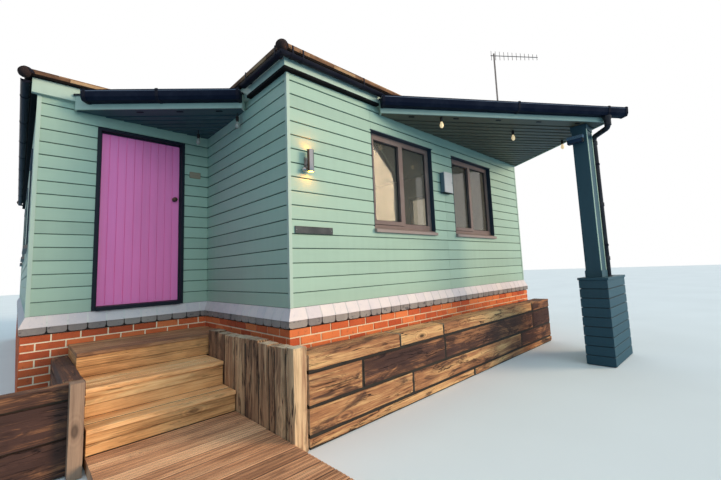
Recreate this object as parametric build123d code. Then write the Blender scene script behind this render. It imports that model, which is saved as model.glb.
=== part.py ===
from build123d import *
import os
from math import cos, radians, sin, tan

# A clad holiday lodge on a brick plinth, in millimetres. +Y runs back from the garden front,
# Z is height over the lawn, and the origin is the foot of the near outer corner.

os.makedirs("parts", exist_ok=True)

# Body of the lodge: a main room with a bay in front of its right part
BAY_WIDTH = 4810
BAY_DEPTH = 1970
PORCH_WIDTH = 1650
LENGTH = 9750
WALL = 150
PLINTH_TOP = 1000
WALL_TOP = 3350
FLOOR_DEPTH = 180
CORNER_TRIM = 28
CORNER_TRIM_THICK = 6

# Brick plinth with its sloped cap course; JOINT is the gap that keeps neighbours apart
BRICK_OUT = 30
BRICK_THICK = 215
CAP_OUT = 46
CAP_SLOPE = 106
CAP_BAND = 64
JOINT = 0.3

# Roof and eaves
PITCH = radians(15)
ROOF_OVERHANG = 95
ROOF_EDGE = 30
RIDGE_CAP_RADIUS = 62
RIDGE_CAP_DROP = 8
RIDGE_CAP_PAST = 30
FASCIA_FOOT = 3200
FASCIA_OUT = 50
FASCIA_THICK = 20
BOX_THICK = 10
GUTTER_WIDE = 110
GUTTER_SKIN = 4
GUTTER_FLOOR = 84
GUTTER_LEAN = 6
EAVES_GUTTER_FOOT = 3288
EAVES_GUTTER_TALL = 58
EAVES_GUTTER_KICK = 18
BAY_GUTTER_RIGHT = 1062
BAY_GUTTER_LEFT = 700
MAIN_GUTTER_START = 150
MAIN_GUTTER_RETURN = 160

# Two flat canopies that fill the corners beside the bay
SOFFIT = 3110
CANOPY_THICK = 84
CANOPY_FASCIA_FOOT = 3103
CANOPY_FASCIA_TOP = 3262
CANOPY_GUTTER_FOOT = 3160
CANOPY_GUTTER_TALL = 108
CANOPY_GUTTER_KICK = 34
CANOPY_STANDOFF = 68
EAVES_CLEAR = 1
PATIO_START = 1190
PATIO_ANGLE = radians(33.6)
PATIO_EDGE = 3080
PATIO_GUTTER_PAST = 205
PORCH_START = 790
PORCH_ANGLE = radians(40.7)
PORCH_BACK_GAP = 14
PORCH_GUTTER_SHORT = 120

# Oval vents and hanging bulbs under the canopies
VENT_LONG = 74
VENT_WIDE = 26
VENT_THICK = 3
VENT_INSET = 95
PATIO_VENTS = 5
PATIO_VENT_FIRST = 400
PATIO_VENT_PITCH = 570
PORCH_VENTS = 3
PORCH_VENT_FIRST = 276
PORCH_VENT_PITCH = 417
BULB_RADIUS = 29
BULB_TALL = 76
HOLDER_RADIUS = 17
HOLDER_TALL = 60
FLEX_RADIUS = 5
PORCH_FLEX = 45
PATIO_BULBS = ((768, 72), (1933, 409), (2929, 705))
PORCH_BULBS = ((96, 142), (713, 626))

# Canopy post, its boarded pier and the rainwater pipe
POST_X = 3560
POST_Y = -1542
POST_WIDE = 250
POST_DEEP = 175
PIER_TOP = 1084
PIER_MARGIN = 75
PIER_LENGTH = 900
COPING_THICK = 30
COPING_PAST = 12
PIPE_RADIUS = 34
PIPE_OUTLET = 3000
PIPE_BEND = 3010
PIPE_BEND_RADIUS = 52
PIPE_ELBOW = 2985
PIPE_STANDOFF = 52
PIPE_AHEAD = 8
CLIP_HEIGHTS = (1500, 2600)
CLIP_TALL = 26
CLIP_WALL = 6

# Windows, one size all round the lodge
WINDOW_WIDE = 1136
WINDOW_FOOT = 1783
WINDOW_HEAD = 2895
FRAME_FACE = 52
FRAME_SETBACK = 58
FRAME_DEEP = 70
SASH_FACE = 30
SASH_LAP = 16
SASH_PROUD = 12
BEAD_FACE = 14
BEAD_SETBACK = 6
BEAD_DEEP = 24
PANE_SETBACK = 30
GLASS_THICK = 24
SILL_PAST = 2
SILL_OUT = 40
SILL_TALL = 66
SILL_NOSE = 34
FRONT_WINDOWS = (1650, 3269)
RIGHT_WINDOWS = [LENGTH * share for share in (0.195, 0.472, 0.749)]
REAR_WINDOWS = (150, 3000)
LEFT_WINDOWS = [LENGTH * share for share in (0.359, 0.615, 0.862)]

# Front door, hung on its left side and opening inwards
DOOR_LEFT = -1160
DOOR_RIGHT = -280
DOOR_HEAD = 2990
DOOR_PROUD = 12
JAMB_FACE = 34
DOOR_GAP = 6
LEAF_THICK = 44
LEAF_SETBACK = 62
THRESHOLD = 40
THRESHOLD_NOSE = 24
STOP_FACE = 12
STOP_THICK = 22
HINGE_HEIGHTS = (1230, 1970, 2710)
HINGE_TALL = 84
HINGE_BACK = 11.5
HINGE_PLATE = 34
HINGE_PLATE_THICK = 4
HINGE_WEB = 10
HINGE_WEB_PAST = 3
KNUCKLE_RADIUS = 6
PIN_RADIUS = 3.5
PIN_CLEARANCE = 0.06
KNOB_INSET = 56
KNOB_HEIGHT = 2268

# Up-and-down wall lamp with a sensor below it
LAMP_X = 205
LAMP_FOOT = 2246
LAMP_TALL = 215
LAMP_RADIUS = 31
LAMP_SKIN = 3
LAMP_RECESS = 30
LAMP_OUT = 66
LAMP_ARM = 28
LAMP_ARM_FOOT = 80
LAMP_ROSE_WIDE = 64
LAMP_ROSE_TALL = 110
LAMP_ROSE_THICK = 8
SENSOR_RADIUS = 22
SENSOR_OUT = 40
SENSOR_SIDE = 54
SENSOR_RISE = 22
SENSOR_STALK = 12

# Meter cabinet, bare name plates and the floodlight on the post
METER_LEFT = 2383
METER_WIDE = 196
METER_FOOT = 2310
METER_TALL = 290
METER_DEEP = 80
METER_ROUND = 10
PLATE_THICK = 12
NAME_PLATE_LEFT = 58
NAME_PLATE_WIDE = 428
NAME_PLATE_FOOT = 1668
NAME_PLATE_TALL = 66
DOOR_PLATE_LEFT = -240
DOOR_PLATE_WIDE = 160
DOOR_PLATE_FOOT = 2560
DOOR_PLATE_TALL = 70
FLOOD_FOOT = 2860
FLOOD_TALL = 100
FLOOD_DEEP = 190
FLOOD_THICK = 60
FLOOD_STANDOFF = 22
FLOOD_INSET = 30
FLOOD_ARM_TALL = 40
FLOOD_ARM_WIDE = 50

# Aerial on a bracketed mast beside the right wall
MAST_STANDOFF = 270
MAST_X = BAY_WIDTH + MAST_STANDOFF
MAST_Y = 337
MAST_RADIUS = 16
MAST_TOP = 5610
MAST_LONG = 3060
BRACKETS_UP = (150, 530)
BRACKET_PLATE = 6
BRACKET_PLATE_HALF_WIDE = 50
BRACKET_PLATE_HALF_TALL = 60
BRACKET_BAR_WIDE = 32
BRACKET_BAR_TALL = 24
COLLAR_WALL = 9
COLLAR_TALL = 40
BOOM_HEIGHT = MAST_TOP - 30
BOOM_ANGLE = radians(-37)
BOOM_LONG = 1040
BOOM_BEHIND = 60
BOOM_RADIUS = 8
BOOM_CLAMP_RADIUS = 14
ROD_RADIUS = 5
RODS = 12
ROD_LONGEST = 200
ROD_SHORTEST = 120
ROD_INSET = 15

# Sleeper walls, timber steps and the boarded landing at their foot
SLEEPER_FACE = -450
SLEEPER_THICK = 130
SLEEPER_FLAT = 250
HALF_SLEEPER = 125
SIDE_FACE = -259
FRONT_WALL_END = 4700
EDGE_COURSES = (92, 211, 252)
FLAT_COURSE = 141
FLAT_JOINTS = (928, 1650, 4013)
SIDE_TOP = 760
SIDE_UNEVEN = 22
SIDE_JOINTS = (-454, -322, -152, -61, 119, 371, 588, 814, 1002, 1236)
STEP_LEFT = -1330
STEP_LOW_Y = 535
STEP_MID_Y = 815
STEP_TOP_Y = 1265
DECK_TOP = 95
STEP_LOW = 276
STEP_MID = 491
STEP_TOP = 701
NOSING = 14
TREAD_THICK = 34
DECK_FRONT = -1200
LEFT_POST_WIDE = 84
LEFT_POST_TOP = 625
LEFT_POST_INSET = 20
LEFT_POST_FRONT = 445
LEFT_WALL_FRONT = 545
LEFT_WALL_LONG = 1250
LEFT_COURSES = (250, 250, 110)

OUTLINE = [
    (0, 0), (BAY_WIDTH, 0), (BAY_WIDTH, LENGTH),
    (-PORCH_WIDTH, LENGTH), (-PORCH_WIDTH, BAY_DEPTH), (0, BAY_DEPTH),
]


def save(name, *solids):
    """Write the solids of one node to its own file."""
    piece = solids[0] if len(solids) == 1 else Compound(children=list(solids))
    export_step(piece, f"parts/{name}.step")


def block(x0, x1, y0, y1, z0, z1):
    """A box from its limits along X, Y and Z."""
    return Pos((x0 + x1) / 2, (y0 + y1) / 2, (z0 + z1) / 2) * Box(x1 - x0, y1 - y0, z1 - z0)


def prism(points, z0, z1):
    """An upright prism over a plan polygon."""
    face = Face(Wire.make_polygon([(p[0], p[1], z0) for p in points]))
    return extrude(face, amount=z1 - z0, dir=(0, 0, 1))


def pillar(x, y, z, radius, height):
    """A round pillar that stands on a point."""
    return Pos(x, y, z + height / 2) * Cylinder(radius, height)


def round_bar(a, b, radius):
    """A round bar between two points."""
    span = Vector(*b) - Vector(*a)
    foot = (Align.CENTER, Align.CENTER, Align.MIN)
    return Plane(origin=a, z_dir=span) * Cylinder(radius, span.length, align=foot)


def unit(a, b):
    """Direction of travel from a to b, the outward side on its right, and the distance."""
    length = ((b[0] - a[0]) ** 2 + (b[1] - a[1]) ** 2) ** 0.5
    along = ((b[0] - a[0]) / length, (b[1] - a[1]) / length)
    return along, (along[1], -along[0]), length


def shifted(p, v, amount):
    """The plan point p moved by amount along v."""
    return (p[0] + v[0] * amount, p[1] + v[1] * amount)


def mitre_vectors(path, closed):
    """Outward vector at each corner, long enough to keep an offset parallel to both sides."""
    count = len(path)
    vectors = []
    for i in range(count):
        before = unit(path[i - 1], path[i])[1] if closed or i > 0 else None
        after = unit(path[i], path[(i + 1) % count])[1] if closed or i < count - 1 else None
        before = before or after
        after = after or before
        scale = 1 + before[0] * after[0] + before[1] * after[1]
        vectors.append(((before[0] + after[0]) / scale, (before[1] + after[1]) / scale))
    return vectors


def offset_outline(path, amount, closed=True):
    """A plan line moved outwards by amount."""
    return [shifted(p, v, amount) for p, v in zip(path, mitre_vectors(path, closed))]


def mitred_runs(path, profile, closed=False, gap=JOINT):
    """Lengths of one (out, height) profile along a path, cut to mitres at its corners."""
    outs = [u for u, z in profile]
    heights = [z for u, z in profile]
    low, high = min(outs) - 1, max(outs) + 1
    reach = 2 * max(abs(low), abs(high))
    vectors = mitre_vectors(path, closed)
    runs = []
    for i in range(len(path) if closed else len(path) - 1):
        a, b = path[i], path[(i + 1) % len(path)]
        va, vb = vectors[i], vectors[(i + 1) % len(path)]
        along, out, length = unit(a, b)
        start = shifted(a, along, -reach)
        face = Face(Wire.make_polygon([(*shifted(start, out, u), z) for u, z in profile]))
        bar = extrude(face, amount=length + 2 * reach, dir=(*along, 0))
        near, far = shifted(a, along, gap / 2), shifted(b, along, -gap / 2)
        sector = [shifted(near, va, low), shifted(far, vb, low)]
        sector += [shifted(far, vb, high), shifted(near, va, high)]
        runs.append((bar & prism(sector, min(heights) - 1, max(heights) + 1)).solid())
    return runs


def gutter(path, foot, tall, rise):
    """Square-line gutter lengths with a sloped front, mitred at corners and stopped at their ends."""
    top, kick, floor = foot + tall, foot + rise, foot + GUTTER_SKIN
    front = GUTTER_WIDE - GUTTER_LEAN
    skin = GUTTER_SKIN
    tray = [(0, top), (0, foot), (GUTTER_FLOOR, foot), (front, kick), (GUTTER_WIDE, top)]
    hollow = [
        (skin, top + 1), (skin, floor), (GUTTER_FLOOR - skin / 2, floor),
        (front - skin, kick + skin / 4), (GUTTER_WIDE - skin, top + 1),
    ]
    inner_path = list(path)
    inner_path[0] = shifted(path[0], unit(path[0], path[1])[0], skin)
    inner_path[-1] = shifted(path[-1], unit(path[-2], path[-1])[0], -skin)
    water = Part() + mitred_runs(inner_path, hollow, gap=0)
    return [(length - water).solid() for length in mitred_runs(path, tray)]


def hip(x0, x1, y0, y1, z0, rear_hip=True):
    """A hipped roof block over a rectangle, its ridge along Y."""
    rise = tan(PITCH) * (x1 - x0) / 2
    over = 1.1 * rise
    run = over / tan(PITCH)
    across = Face(Wire.make_polygon([(x0, y0, z0), (x1, y0, z0), ((x0 + x1) / 2, y0, z0 + rise)]))
    rear = [(x0, y1 - run, z0 + over)] if rear_hip else [(x0, y1, z0 + over)]
    side = [(x0, y0, z0), (x0, y1, z0), *rear, (x0, y0 + run, z0 + over)]
    along = Face(Wire.make_polygon(side))
    return extrude(across, amount=y1 - y0, dir=(0, 1, 0)) & extrude(along, amount=x1 - x0, dir=(1, 0, 0))


def roof_block(out, z0):
    """Both hips of the roof, with their eaves a distance out from the walls."""
    main = hip(-PORCH_WIDTH - out, BAY_WIDTH + out, BAY_DEPTH - out, LENGTH + out, z0)
    bay = hip(-out, BAY_WIDTH + out, -out, LENGTH / 2, z0, rear_hip=False)
    return main + bay


def on_wall(x, y, turn):
    """Frame on a wall's outer face: local X along the wall, local Y into it."""
    return Pos(x, y, 0) * Rot(0, 0, turn)


# Where each window stands: its centre on the wall's outer face and the wall's turn
front_places = [on_wall(x, 0, 0) for x in FRONT_WINDOWS]
right_places = [on_wall(BAY_WIDTH, y, 90) for y in RIGHT_WINDOWS]
rear_places = [on_wall(x, LENGTH, 180) for x in REAR_WINDOWS]
left_places = [on_wall(-PORCH_WIDTH, y, -90) for y in LEFT_WINDOWS]
window_places = front_places + right_places + rear_places + left_places

half_window = WINDOW_WIDE / 2
sill_foot = WINDOW_FOOT - SILL_TALL
window_hole = block(-half_window, half_window, -WALL, 2 * WALL, sill_foot, WINDOW_HEAD)


def wall(x0, x1, y0, y1, places=(), foot=PLINTH_TOP):
    """A wall slab up to the eaves, with its window openings cut through."""
    slab = block(x0, x1, y0, y1, foot, WALL_TOP)
    for place in places:
        slab = slab - place * window_hole
    return slab.solid()


# Walls stand on the plinth; the rear and side walls butt behind the fronts
INNER_BAY = BAY_DEPTH + WALL
side_end = LENGTH - WALL
save("front_wall", wall(0, BAY_WIDTH, 0, WALL, front_places))
save("right_wall", wall(BAY_WIDTH - WALL, BAY_WIDTH, WALL, side_end, right_places))
save("rear_wall", wall(-PORCH_WIDTH, BAY_WIDTH, side_end, LENGTH, rear_places))
save("left_wall", wall(-PORCH_WIDTH, WALL - PORCH_WIDTH, INNER_BAY, side_end, left_places))
save("bay_side_wall", wall(0, WALL, WALL, BAY_DEPTH))
save("door_wall_left", wall(-PORCH_WIDTH, DOOR_LEFT, BAY_DEPTH, INNER_BAY))
save("door_wall_right", wall(DOOR_RIGHT, WALL, BAY_DEPTH, INNER_BAY))
save("door_wall_head", wall(DOOR_LEFT, DOOR_RIGHT, BAY_DEPTH, INNER_BAY, foot=DOOR_HEAD))

# Floor inside the walls, resting on the inner part of the plinth
room_outline = offset_outline(OUTLINE, -WALL)
brick_top = PLINTH_TOP - FLOOR_DEPTH
inner_left, inner_right = WALL - PORCH_WIDTH, BAY_WIDTH - WALL
main_floor = block(inner_left, inner_right, INNER_BAY, side_end, brick_top, PLINTH_TOP)
bay_floor = block(WALL, inner_right, WALL, INNER_BAY - JOINT, brick_top, PLINTH_TOP)
save("floor", main_floor, bay_floor)

# Plinth: straight brick lengths, and the sloped cap course that sheds water in front of them
brick_back = BRICK_OUT - BRICK_THICK
brick = [(BRICK_OUT, 0), (BRICK_OUT, brick_top), (brick_back, brick_top), (brick_back, 0)]
save("brick_plinth", *mitred_runs(OUTLINE, brick, closed=True))
slope_foot = PLINTH_TOP - CAP_SLOPE
band_foot = slope_foot - CAP_BAND
cap_back = 1 - WALL
cap = [
    (0, PLINTH_TOP), (cap_back, PLINTH_TOP), (cap_back, brick_top), (BRICK_OUT, brick_top),
    (BRICK_OUT, band_foot), (CAP_OUT, band_foot), (CAP_OUT, slope_foot),
]
save("plinth_cap", *mitred_runs(OUTLINE, cap, closed=True))

# Roof: a thin shell over the walls, open to the room below
roof_outline = offset_outline(OUTLINE, ROOF_OVERHANG)
front_left, front_right, rear_right, rear_left, porch_left, valley_foot = roof_outline
outer_foot = WALL_TOP + ROOF_EDGE
roof_outer = prism(roof_outline, WALL_TOP, outer_foot) + roof_block(ROOF_OVERHANG, outer_foot)
roof_shell = roof_outer - prism(room_outline, WALL_TOP - 1, WALL_TOP) - roof_block(-WALL, WALL_TOP)

# Ends of the two ridges, at the height of the cap tiles' centre line
eave = outer_foot - RIDGE_CAP_DROP
half_main = (BAY_WIDTH + PORCH_WIDTH) / 2 + ROOF_OVERHANG
half_bay = BAY_WIDTH / 2 + ROOF_OVERHANG
main_ridge = eave + tan(PITCH) * half_main
bay_ridge = eave + tan(PITCH) * half_bay
main_x = (BAY_WIDTH - PORCH_WIDTH) / 2
main_front = (main_x, porch_left[1] + half_main, main_ridge)
main_rear = (main_x, rear_left[1] - half_main, main_ridge)
bay_front = (BAY_WIDTH / 2, front_left[1] + half_bay, bay_ridge)
bay_rear = (BAY_WIDTH / 2, valley_foot[1] + half_bay, bay_ridge)

# The shell is cut along its hips, ridges and valley into one plate a slope
right_break = (front_right[0], bay_rear[1])
slopes = [
    [front_left, front_right, bay_front],
    [front_left, bay_front, bay_rear, valley_foot],
    [porch_left, valley_foot, bay_rear, main_front],
    [porch_left, main_front, main_rear, rear_left],
    [rear_left, main_rear, rear_right],
    [front_right, right_break, bay_rear, bay_front],
    [right_break, rear_right, main_rear, main_front, bay_rear],
]
plates = []
for corners in slopes:
    plan = offset_outline(corners, -JOINT / 2)
    plates.append((roof_shell & prism(plan, WALL_TOP - 1, 2 * WALL_TOP)).solid())
save("roof", *plates)

# Half-round cap tiles along the ridges and hips
cap_lines = [
    (main_front, main_rear), (bay_front, bay_rear), (bay_rear, main_front),
    ((*front_left, eave), bay_front), ((*front_right, eave), bay_front),
    ((*porch_left, eave), main_front), ((*rear_left, eave), main_rear),
    ((*rear_right, eave), main_rear),
]
cap_bars = Part() + [round_bar(a, b, RIDGE_CAP_RADIUS) for a, b in cap_lines]
cap_plan = prism(offset_outline(roof_outline, RIDGE_CAP_PAST), WALL_TOP + 4, 2 * WALL_TOP)
save("ridge_caps", *((cap_bars - roof_outer) & cap_plan).solids())

# Eaves: boxed fascia all round and gutters wherever no canopy takes the water
fascia_back = FASCIA_OUT - FASCIA_THICK
box_top = FASCIA_FOOT + BOX_THICK
fascia = [
    (0, FASCIA_FOOT), (FASCIA_OUT, FASCIA_FOOT), (FASCIA_OUT, WALL_TOP),
    (fascia_back, WALL_TOP), (fascia_back, box_top), (0, box_top),
]
save("eaves_fascia", *mitred_runs(OUTLINE, fascia, closed=True))
fascia_line = offset_outline(OUTLINE, FASCIA_OUT)
bay_gutter_path = [(-FASCIA_OUT, BAY_GUTTER_LEFT), fascia_line[0], (BAY_GUTTER_RIGHT, -FASCIA_OUT)]
eaves_gutter_size = (EAVES_GUTTER_FOOT, EAVES_GUTTER_TALL, EAVES_GUTTER_KICK)
save("bay_gutter", *gutter(bay_gutter_path, *eaves_gutter_size))
main_gutter_path = [
    (fascia_line[1][0], MAIN_GUTTER_START), *fascia_line[2:5],
    (MAIN_GUTTER_RETURN - PORCH_WIDTH, fascia_line[4][1]),
]
save("main_gutter", *gutter(main_gutter_path, *eaves_gutter_size))

# The space that the canopies leave to the walls and the main eaves
eaves_zone = prism(offset_outline(OUTLINE, FASCIA_OUT + EAVES_CLEAR), FASCIA_FOOT - 4, WALL_TOP)
eaves_zone = eaves_zone + prism(OUTLINE, 0, WALL_TOP)


def canopy_parts(path, wall_points, gutter_path):
    """The slab, fascia and gutter of one flat canopy whose free edges follow a path."""
    plan = offset_outline(path, -FASCIA_THICK - JOINT, closed=False) + wall_points
    slab = prism(plan, SOFFIT, SOFFIT + CANOPY_THICK) - eaves_zone
    board = [
        (0, CANOPY_FASCIA_FOOT), (0, CANOPY_FASCIA_TOP),
        (-FASCIA_THICK, CANOPY_FASCIA_TOP), (-FASCIA_THICK, CANOPY_FASCIA_FOOT),
    ]
    edge = [(length - eaves_zone).solid() for length in mitred_runs(path, board)]
    tray = gutter(gutter_path, CANOPY_GUTTER_FOOT, CANOPY_GUTTER_TALL, CANOPY_GUTTER_KICK)
    return slab.solid(), edge, tray


# Patio canopy: a right-angled corner of roof beside the garden front
patio_along = (cos(PATIO_ANGLE), -sin(PATIO_ANGLE))
patio_near = (PATIO_START, -CANOPY_STANDOFF)
patio_back = (PATIO_START + CANOPY_STANDOFF * tan(PATIO_ANGLE), 0)
patio_corner = shifted(patio_near, patio_along, PATIO_EDGE)
patio_out = unit(patio_near, patio_corner)[1]
patio_path = [patio_back, patio_near, patio_corner, (BAY_WIDTH + FASCIA_OUT, 0)]
patio_gutter_path = [patio_near, shifted(patio_corner, patio_along, PATIO_GUTTER_PAST)]
patio_slab, patio_edge, patio_gutter = canopy_parts(patio_path, [], patio_gutter_path)
save("patio_canopy", patio_slab)
save("patio_fascia", *patio_edge)
save("patio_gutter", *patio_gutter)

# Porch canopy over the door, in the inner corner
porch_along = (-cos(PORCH_ANGLE), sin(PORCH_ANGLE))
porch_near = (-CANOPY_STANDOFF, PORCH_START)
porch_back = (0, PORCH_START + CANOPY_STANDOFF)
porch_rear = BAY_DEPTH - FASCIA_OUT - PORCH_BACK_GAP
porch_reach = (porch_rear - PORCH_START) / sin(PORCH_ANGLE)
porch_corner = shifted(porch_near, porch_along, porch_reach)
porch_out = unit(porch_corner, porch_near)[1]
porch_path = [(porch_corner[0], BAY_DEPTH), porch_corner, porch_near, porch_back]
porch_gutter_path = [shifted(porch_near, porch_along, porch_reach - PORCH_GUTTER_SHORT), porch_near]
porch_slab, porch_edge, porch_gutter = canopy_parts(porch_path, [(-JOINT, BAY_DEPTH)], porch_gutter_path)
save("porch_canopy", porch_slab)
save("porch_fascia", *porch_edge)
save("porch_gutter", *porch_gutter)

# Slim trims on the outward corners
trim_profile = [
    (0, PLINTH_TOP), (0, FASCIA_FOOT),
    (CORNER_TRIM_THICK, FASCIA_FOOT), (CORNER_TRIM_THICK, PLINTH_TOP),
]


def corner_trim(corner, before, after):
    """A slim angle strip that covers the end of the boards at one outward corner."""
    near = shifted(corner, unit(corner, before)[0], CORNER_TRIM)
    far = shifted(corner, unit(corner, after)[0], CORNER_TRIM)
    strip = Part() + mitred_runs([near, corner, far], trim_profile, gap=0)
    strip = strip - patio_slab - patio_edge
    return strip.solids().sort_by(SortBy.VOLUME)[-1]


save("corner_trims", *[corner_trim(OUTLINE[i], OUTLINE[i - 1], OUTLINE[i + 1]) for i in range(5)])

# Post on its boarded pier
post_right, post_back = POST_X + POST_WIDE, POST_Y + POST_DEEP
save("canopy_post", block(POST_X, post_right, POST_Y, post_back, PIER_TOP, SOFFIT))
pier_left, pier_right = POST_X - PIER_MARGIN, POST_X - PIER_MARGIN + PIER_LENGTH
pier_front, pier_back = POST_Y - PIER_MARGIN, post_back + PIER_MARGIN
coping_foot = PIER_TOP - COPING_THICK
save("post_pier", block(pier_left, pier_right, pier_front, pier_back, 0, coping_foot))
save("pier_coping", block(
    pier_left - COPING_PAST, pier_right + COPING_PAST,
    pier_front - COPING_PAST, pier_back + COPING_PAST, coping_foot, PIER_TOP))

# Rainwater pipe: outlet, swan neck back to the post, and the straight drop beside it
outlet = shifted(shifted(patio_near, patio_along, PIPE_OUTLET), patio_out, GUTTER_WIDE / 2)
drop_x = post_right + PIPE_STANDOFF
drop_y = POST_Y - PIPE_AHEAD
pipe_line = Polyline(
    (*outlet, CANOPY_GUTTER_FOOT), (*outlet, PIPE_BEND),
    (drop_x, drop_y, PIPE_ELBOW), (drop_x, drop_y, PIER_TOP + JOINT))
pipe_line = fillet(pipe_line.vertices()[1:3], PIPE_BEND_RADIUS)
pipe_section = Plane(origin=pipe_line @ 0, z_dir=pipe_line % 0) * Circle(PIPE_RADIUS)
save("downpipe", sweep(pipe_section, path=pipe_line).solid())


def pipe_clip(z):
    """A clip that holds the pipe to the side of the post."""
    ring = Cylinder(PIPE_RADIUS + CLIP_WALL, CLIP_TALL) - Cylinder(PIPE_RADIUS + JOINT, 2 * CLIP_TALL)
    half = CLIP_TALL / 2
    foot_end = PIPE_AHEAD + PIPE_RADIUS + CLIP_WALL
    foot = block(-PIPE_STANDOFF, -PIPE_RADIUS - 1, PIPE_AHEAD, foot_end, -half, half)
    return (Pos(drop_x, drop_y, z) * (ring + foot)).solid()


save("pipe_clips", *[pipe_clip(z) for z in CLIP_HEIGHTS])

# Windows: set back in their openings on sloped sills, with a mullion, a casement sash in the
# left light and a bead in the right one
frame_front = FRAME_SETBACK
frame_back = frame_front + FRAME_DEEP
light = (WINDOW_WIDE - 3 * FRAME_FACE) / 2
light_foot, light_head = WINDOW_FOOT + FRAME_FACE, WINDOW_HEAD - FRAME_FACE
left_edge, right_edge = FRAME_FACE - half_window, FRAME_FACE / 2


def in_light(edge, margin, front, depth):
    """A block over one light, a margin inside its edges, from a front plane inwards."""
    return block(
        edge + margin, edge + light - margin, front, front + depth, light_foot + margin, light_head - margin)


frame = block(-half_window, half_window, frame_front, frame_back, WINDOW_FOOT, WINDOW_HEAD)
for edge in (left_edge, right_edge):
    frame = frame - in_light(edge, 0, -WALL, 2 * WALL)
sash = in_light(left_edge, -SASH_LAP, frame_front - SASH_PROUD, SASH_PROUD)
sash = sash + in_light(left_edge, 0, frame_front, PANE_SETBACK)
sash = sash - in_light(left_edge, SASH_FACE, -WALL, 2 * WALL)
bead = in_light(right_edge, 0, frame_front + BEAD_SETBACK, BEAD_DEEP)
bead = bead - in_light(right_edge, BEAD_FACE, -WALL, 2 * WALL)
frame = (frame + sash + bead).solid()
panes = [in_light(edge, 0, frame_front + PANE_SETBACK, GLASS_THICK) for edge in (left_edge, right_edge)]


def sill_length(past):
    """A sill that reaches a distance past both sides of the opening."""
    outline = [
        (frame_back, sill_foot), (-SILL_OUT, sill_foot), (-SILL_OUT, sill_foot + SILL_NOSE),
        (frame_front, WINDOW_FOOT), (frame_back, WINDOW_FOOT),
    ]
    end = Face(Wire.make_polygon([(-half_window - past, y, z) for y, z in outline]))
    return extrude(end, amount=WINDOW_WIDE + 2 * past, dir=(1, 0, 0))


outside = block(-WINDOW_WIDE, WINDOW_WIDE, -WALL, 0, 0, WALL_TOP)
sill = sill_length(0) + (sill_length(SILL_PAST) & outside)
save("window_frames", *[(place * frame).solid() for place in window_places])
save("window_glass", *[(place * pane).solid() for place in window_places for pane in panes])
save("window_sills", *[(place * sill).solid() for place in window_places])

# Door set: jambs, head and threshold in the opening, with a leaf that swings inwards
door_front = BAY_DEPTH - DOOR_PROUD
leaf_front = BAY_DEPTH + LEAF_SETBACK
leaf_back = leaf_front + LEAF_THICK
stop_back = leaf_front - DOOR_GAP
stop_front = stop_back - STOP_THICK
threshold_top = PLINTH_TOP + THRESHOLD
head_foot = DOOR_HEAD - JAMB_FACE
clear_left, clear_right = DOOR_LEFT + JAMB_FACE, DOOR_RIGHT - JAMB_FACE
left_jamb = block(DOOR_LEFT, clear_left, door_front, leaf_back, PLINTH_TOP, DOOR_HEAD)
left_stop = block(DOOR_LEFT, clear_left + STOP_FACE, stop_front, stop_back, threshold_top, head_foot)
right_jamb = block(clear_right, DOOR_RIGHT, door_front, leaf_back, PLINTH_TOP, DOOR_HEAD)
right_stop = block(clear_right - STOP_FACE, DOOR_RIGHT, stop_front, stop_back, threshold_top, head_foot)
save("door_jambs", (left_jamb + left_stop).solid(), (right_jamb + right_stop).solid())
head = block(clear_left, clear_right, door_front, leaf_back, head_foot, DOOR_HEAD)
head_stop = block(
    clear_left + STOP_FACE, clear_right - STOP_FACE, stop_front, stop_back, head_foot - STOP_FACE, head_foot)
save("door_head", (head + head_stop).solid())
save("threshold", block(
    clear_left, clear_right, door_front - THRESHOLD_NOSE, leaf_back, PLINTH_TOP, threshold_top))
leaf_left, leaf_right = clear_left + DOOR_GAP, clear_right - DOOR_GAP
leaf_foot, leaf_top = threshold_top + DOOR_GAP, head_foot - DOOR_GAP
save("door_leaf", block(leaf_left, leaf_right, leaf_front, leaf_back, leaf_foot, leaf_top))

# Lift-off hinges: a pin stands in the jamb's knuckle, and the leaf's knuckle turns on it
hinge_x = leaf_left - DOOR_GAP / 2
hinge_y = leaf_back + HINGE_BACK
half_hinge = HINGE_TALL / 2


def hinge_half(side, z):
    """Plate and knuckle of one half of a hinge, on the jamb (side -1) or on the leaf (side 1)."""
    near = side * DOOR_GAP / 2
    plate_x = sorted((hinge_x + near, hinge_x + side * HINGE_PLATE))
    web_x = sorted((hinge_x + near, hinge_x + side * HINGE_WEB))
    half = pillar(hinge_x, hinge_y, z, KNUCKLE_RADIUS, half_hinge)
    half = half + block(*plate_x, leaf_back, leaf_back + HINGE_PLATE_THICK, z, z + half_hinge)
    return half + block(*web_x, leaf_back, hinge_y + HINGE_WEB_PAST, z, z + half_hinge)


frame_hinges, leaf_hinges = [], []
for z in HINGE_HEIGHTS:
    pin = pillar(hinge_x, hinge_y, z, PIN_RADIUS, HINGE_TALL)
    bore = pillar(hinge_x, hinge_y, z, PIN_RADIUS + PIN_CLEARANCE, 2 * HINGE_TALL)
    frame_hinges.append((hinge_half(-1, z) + pin).solid())
    leaf_hinges.append((hinge_half(1, z + half_hinge + JOINT) - bore).solid())
save("frame_hinges", *frame_hinges)
save("leaf_hinges", *leaf_hinges)

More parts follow.
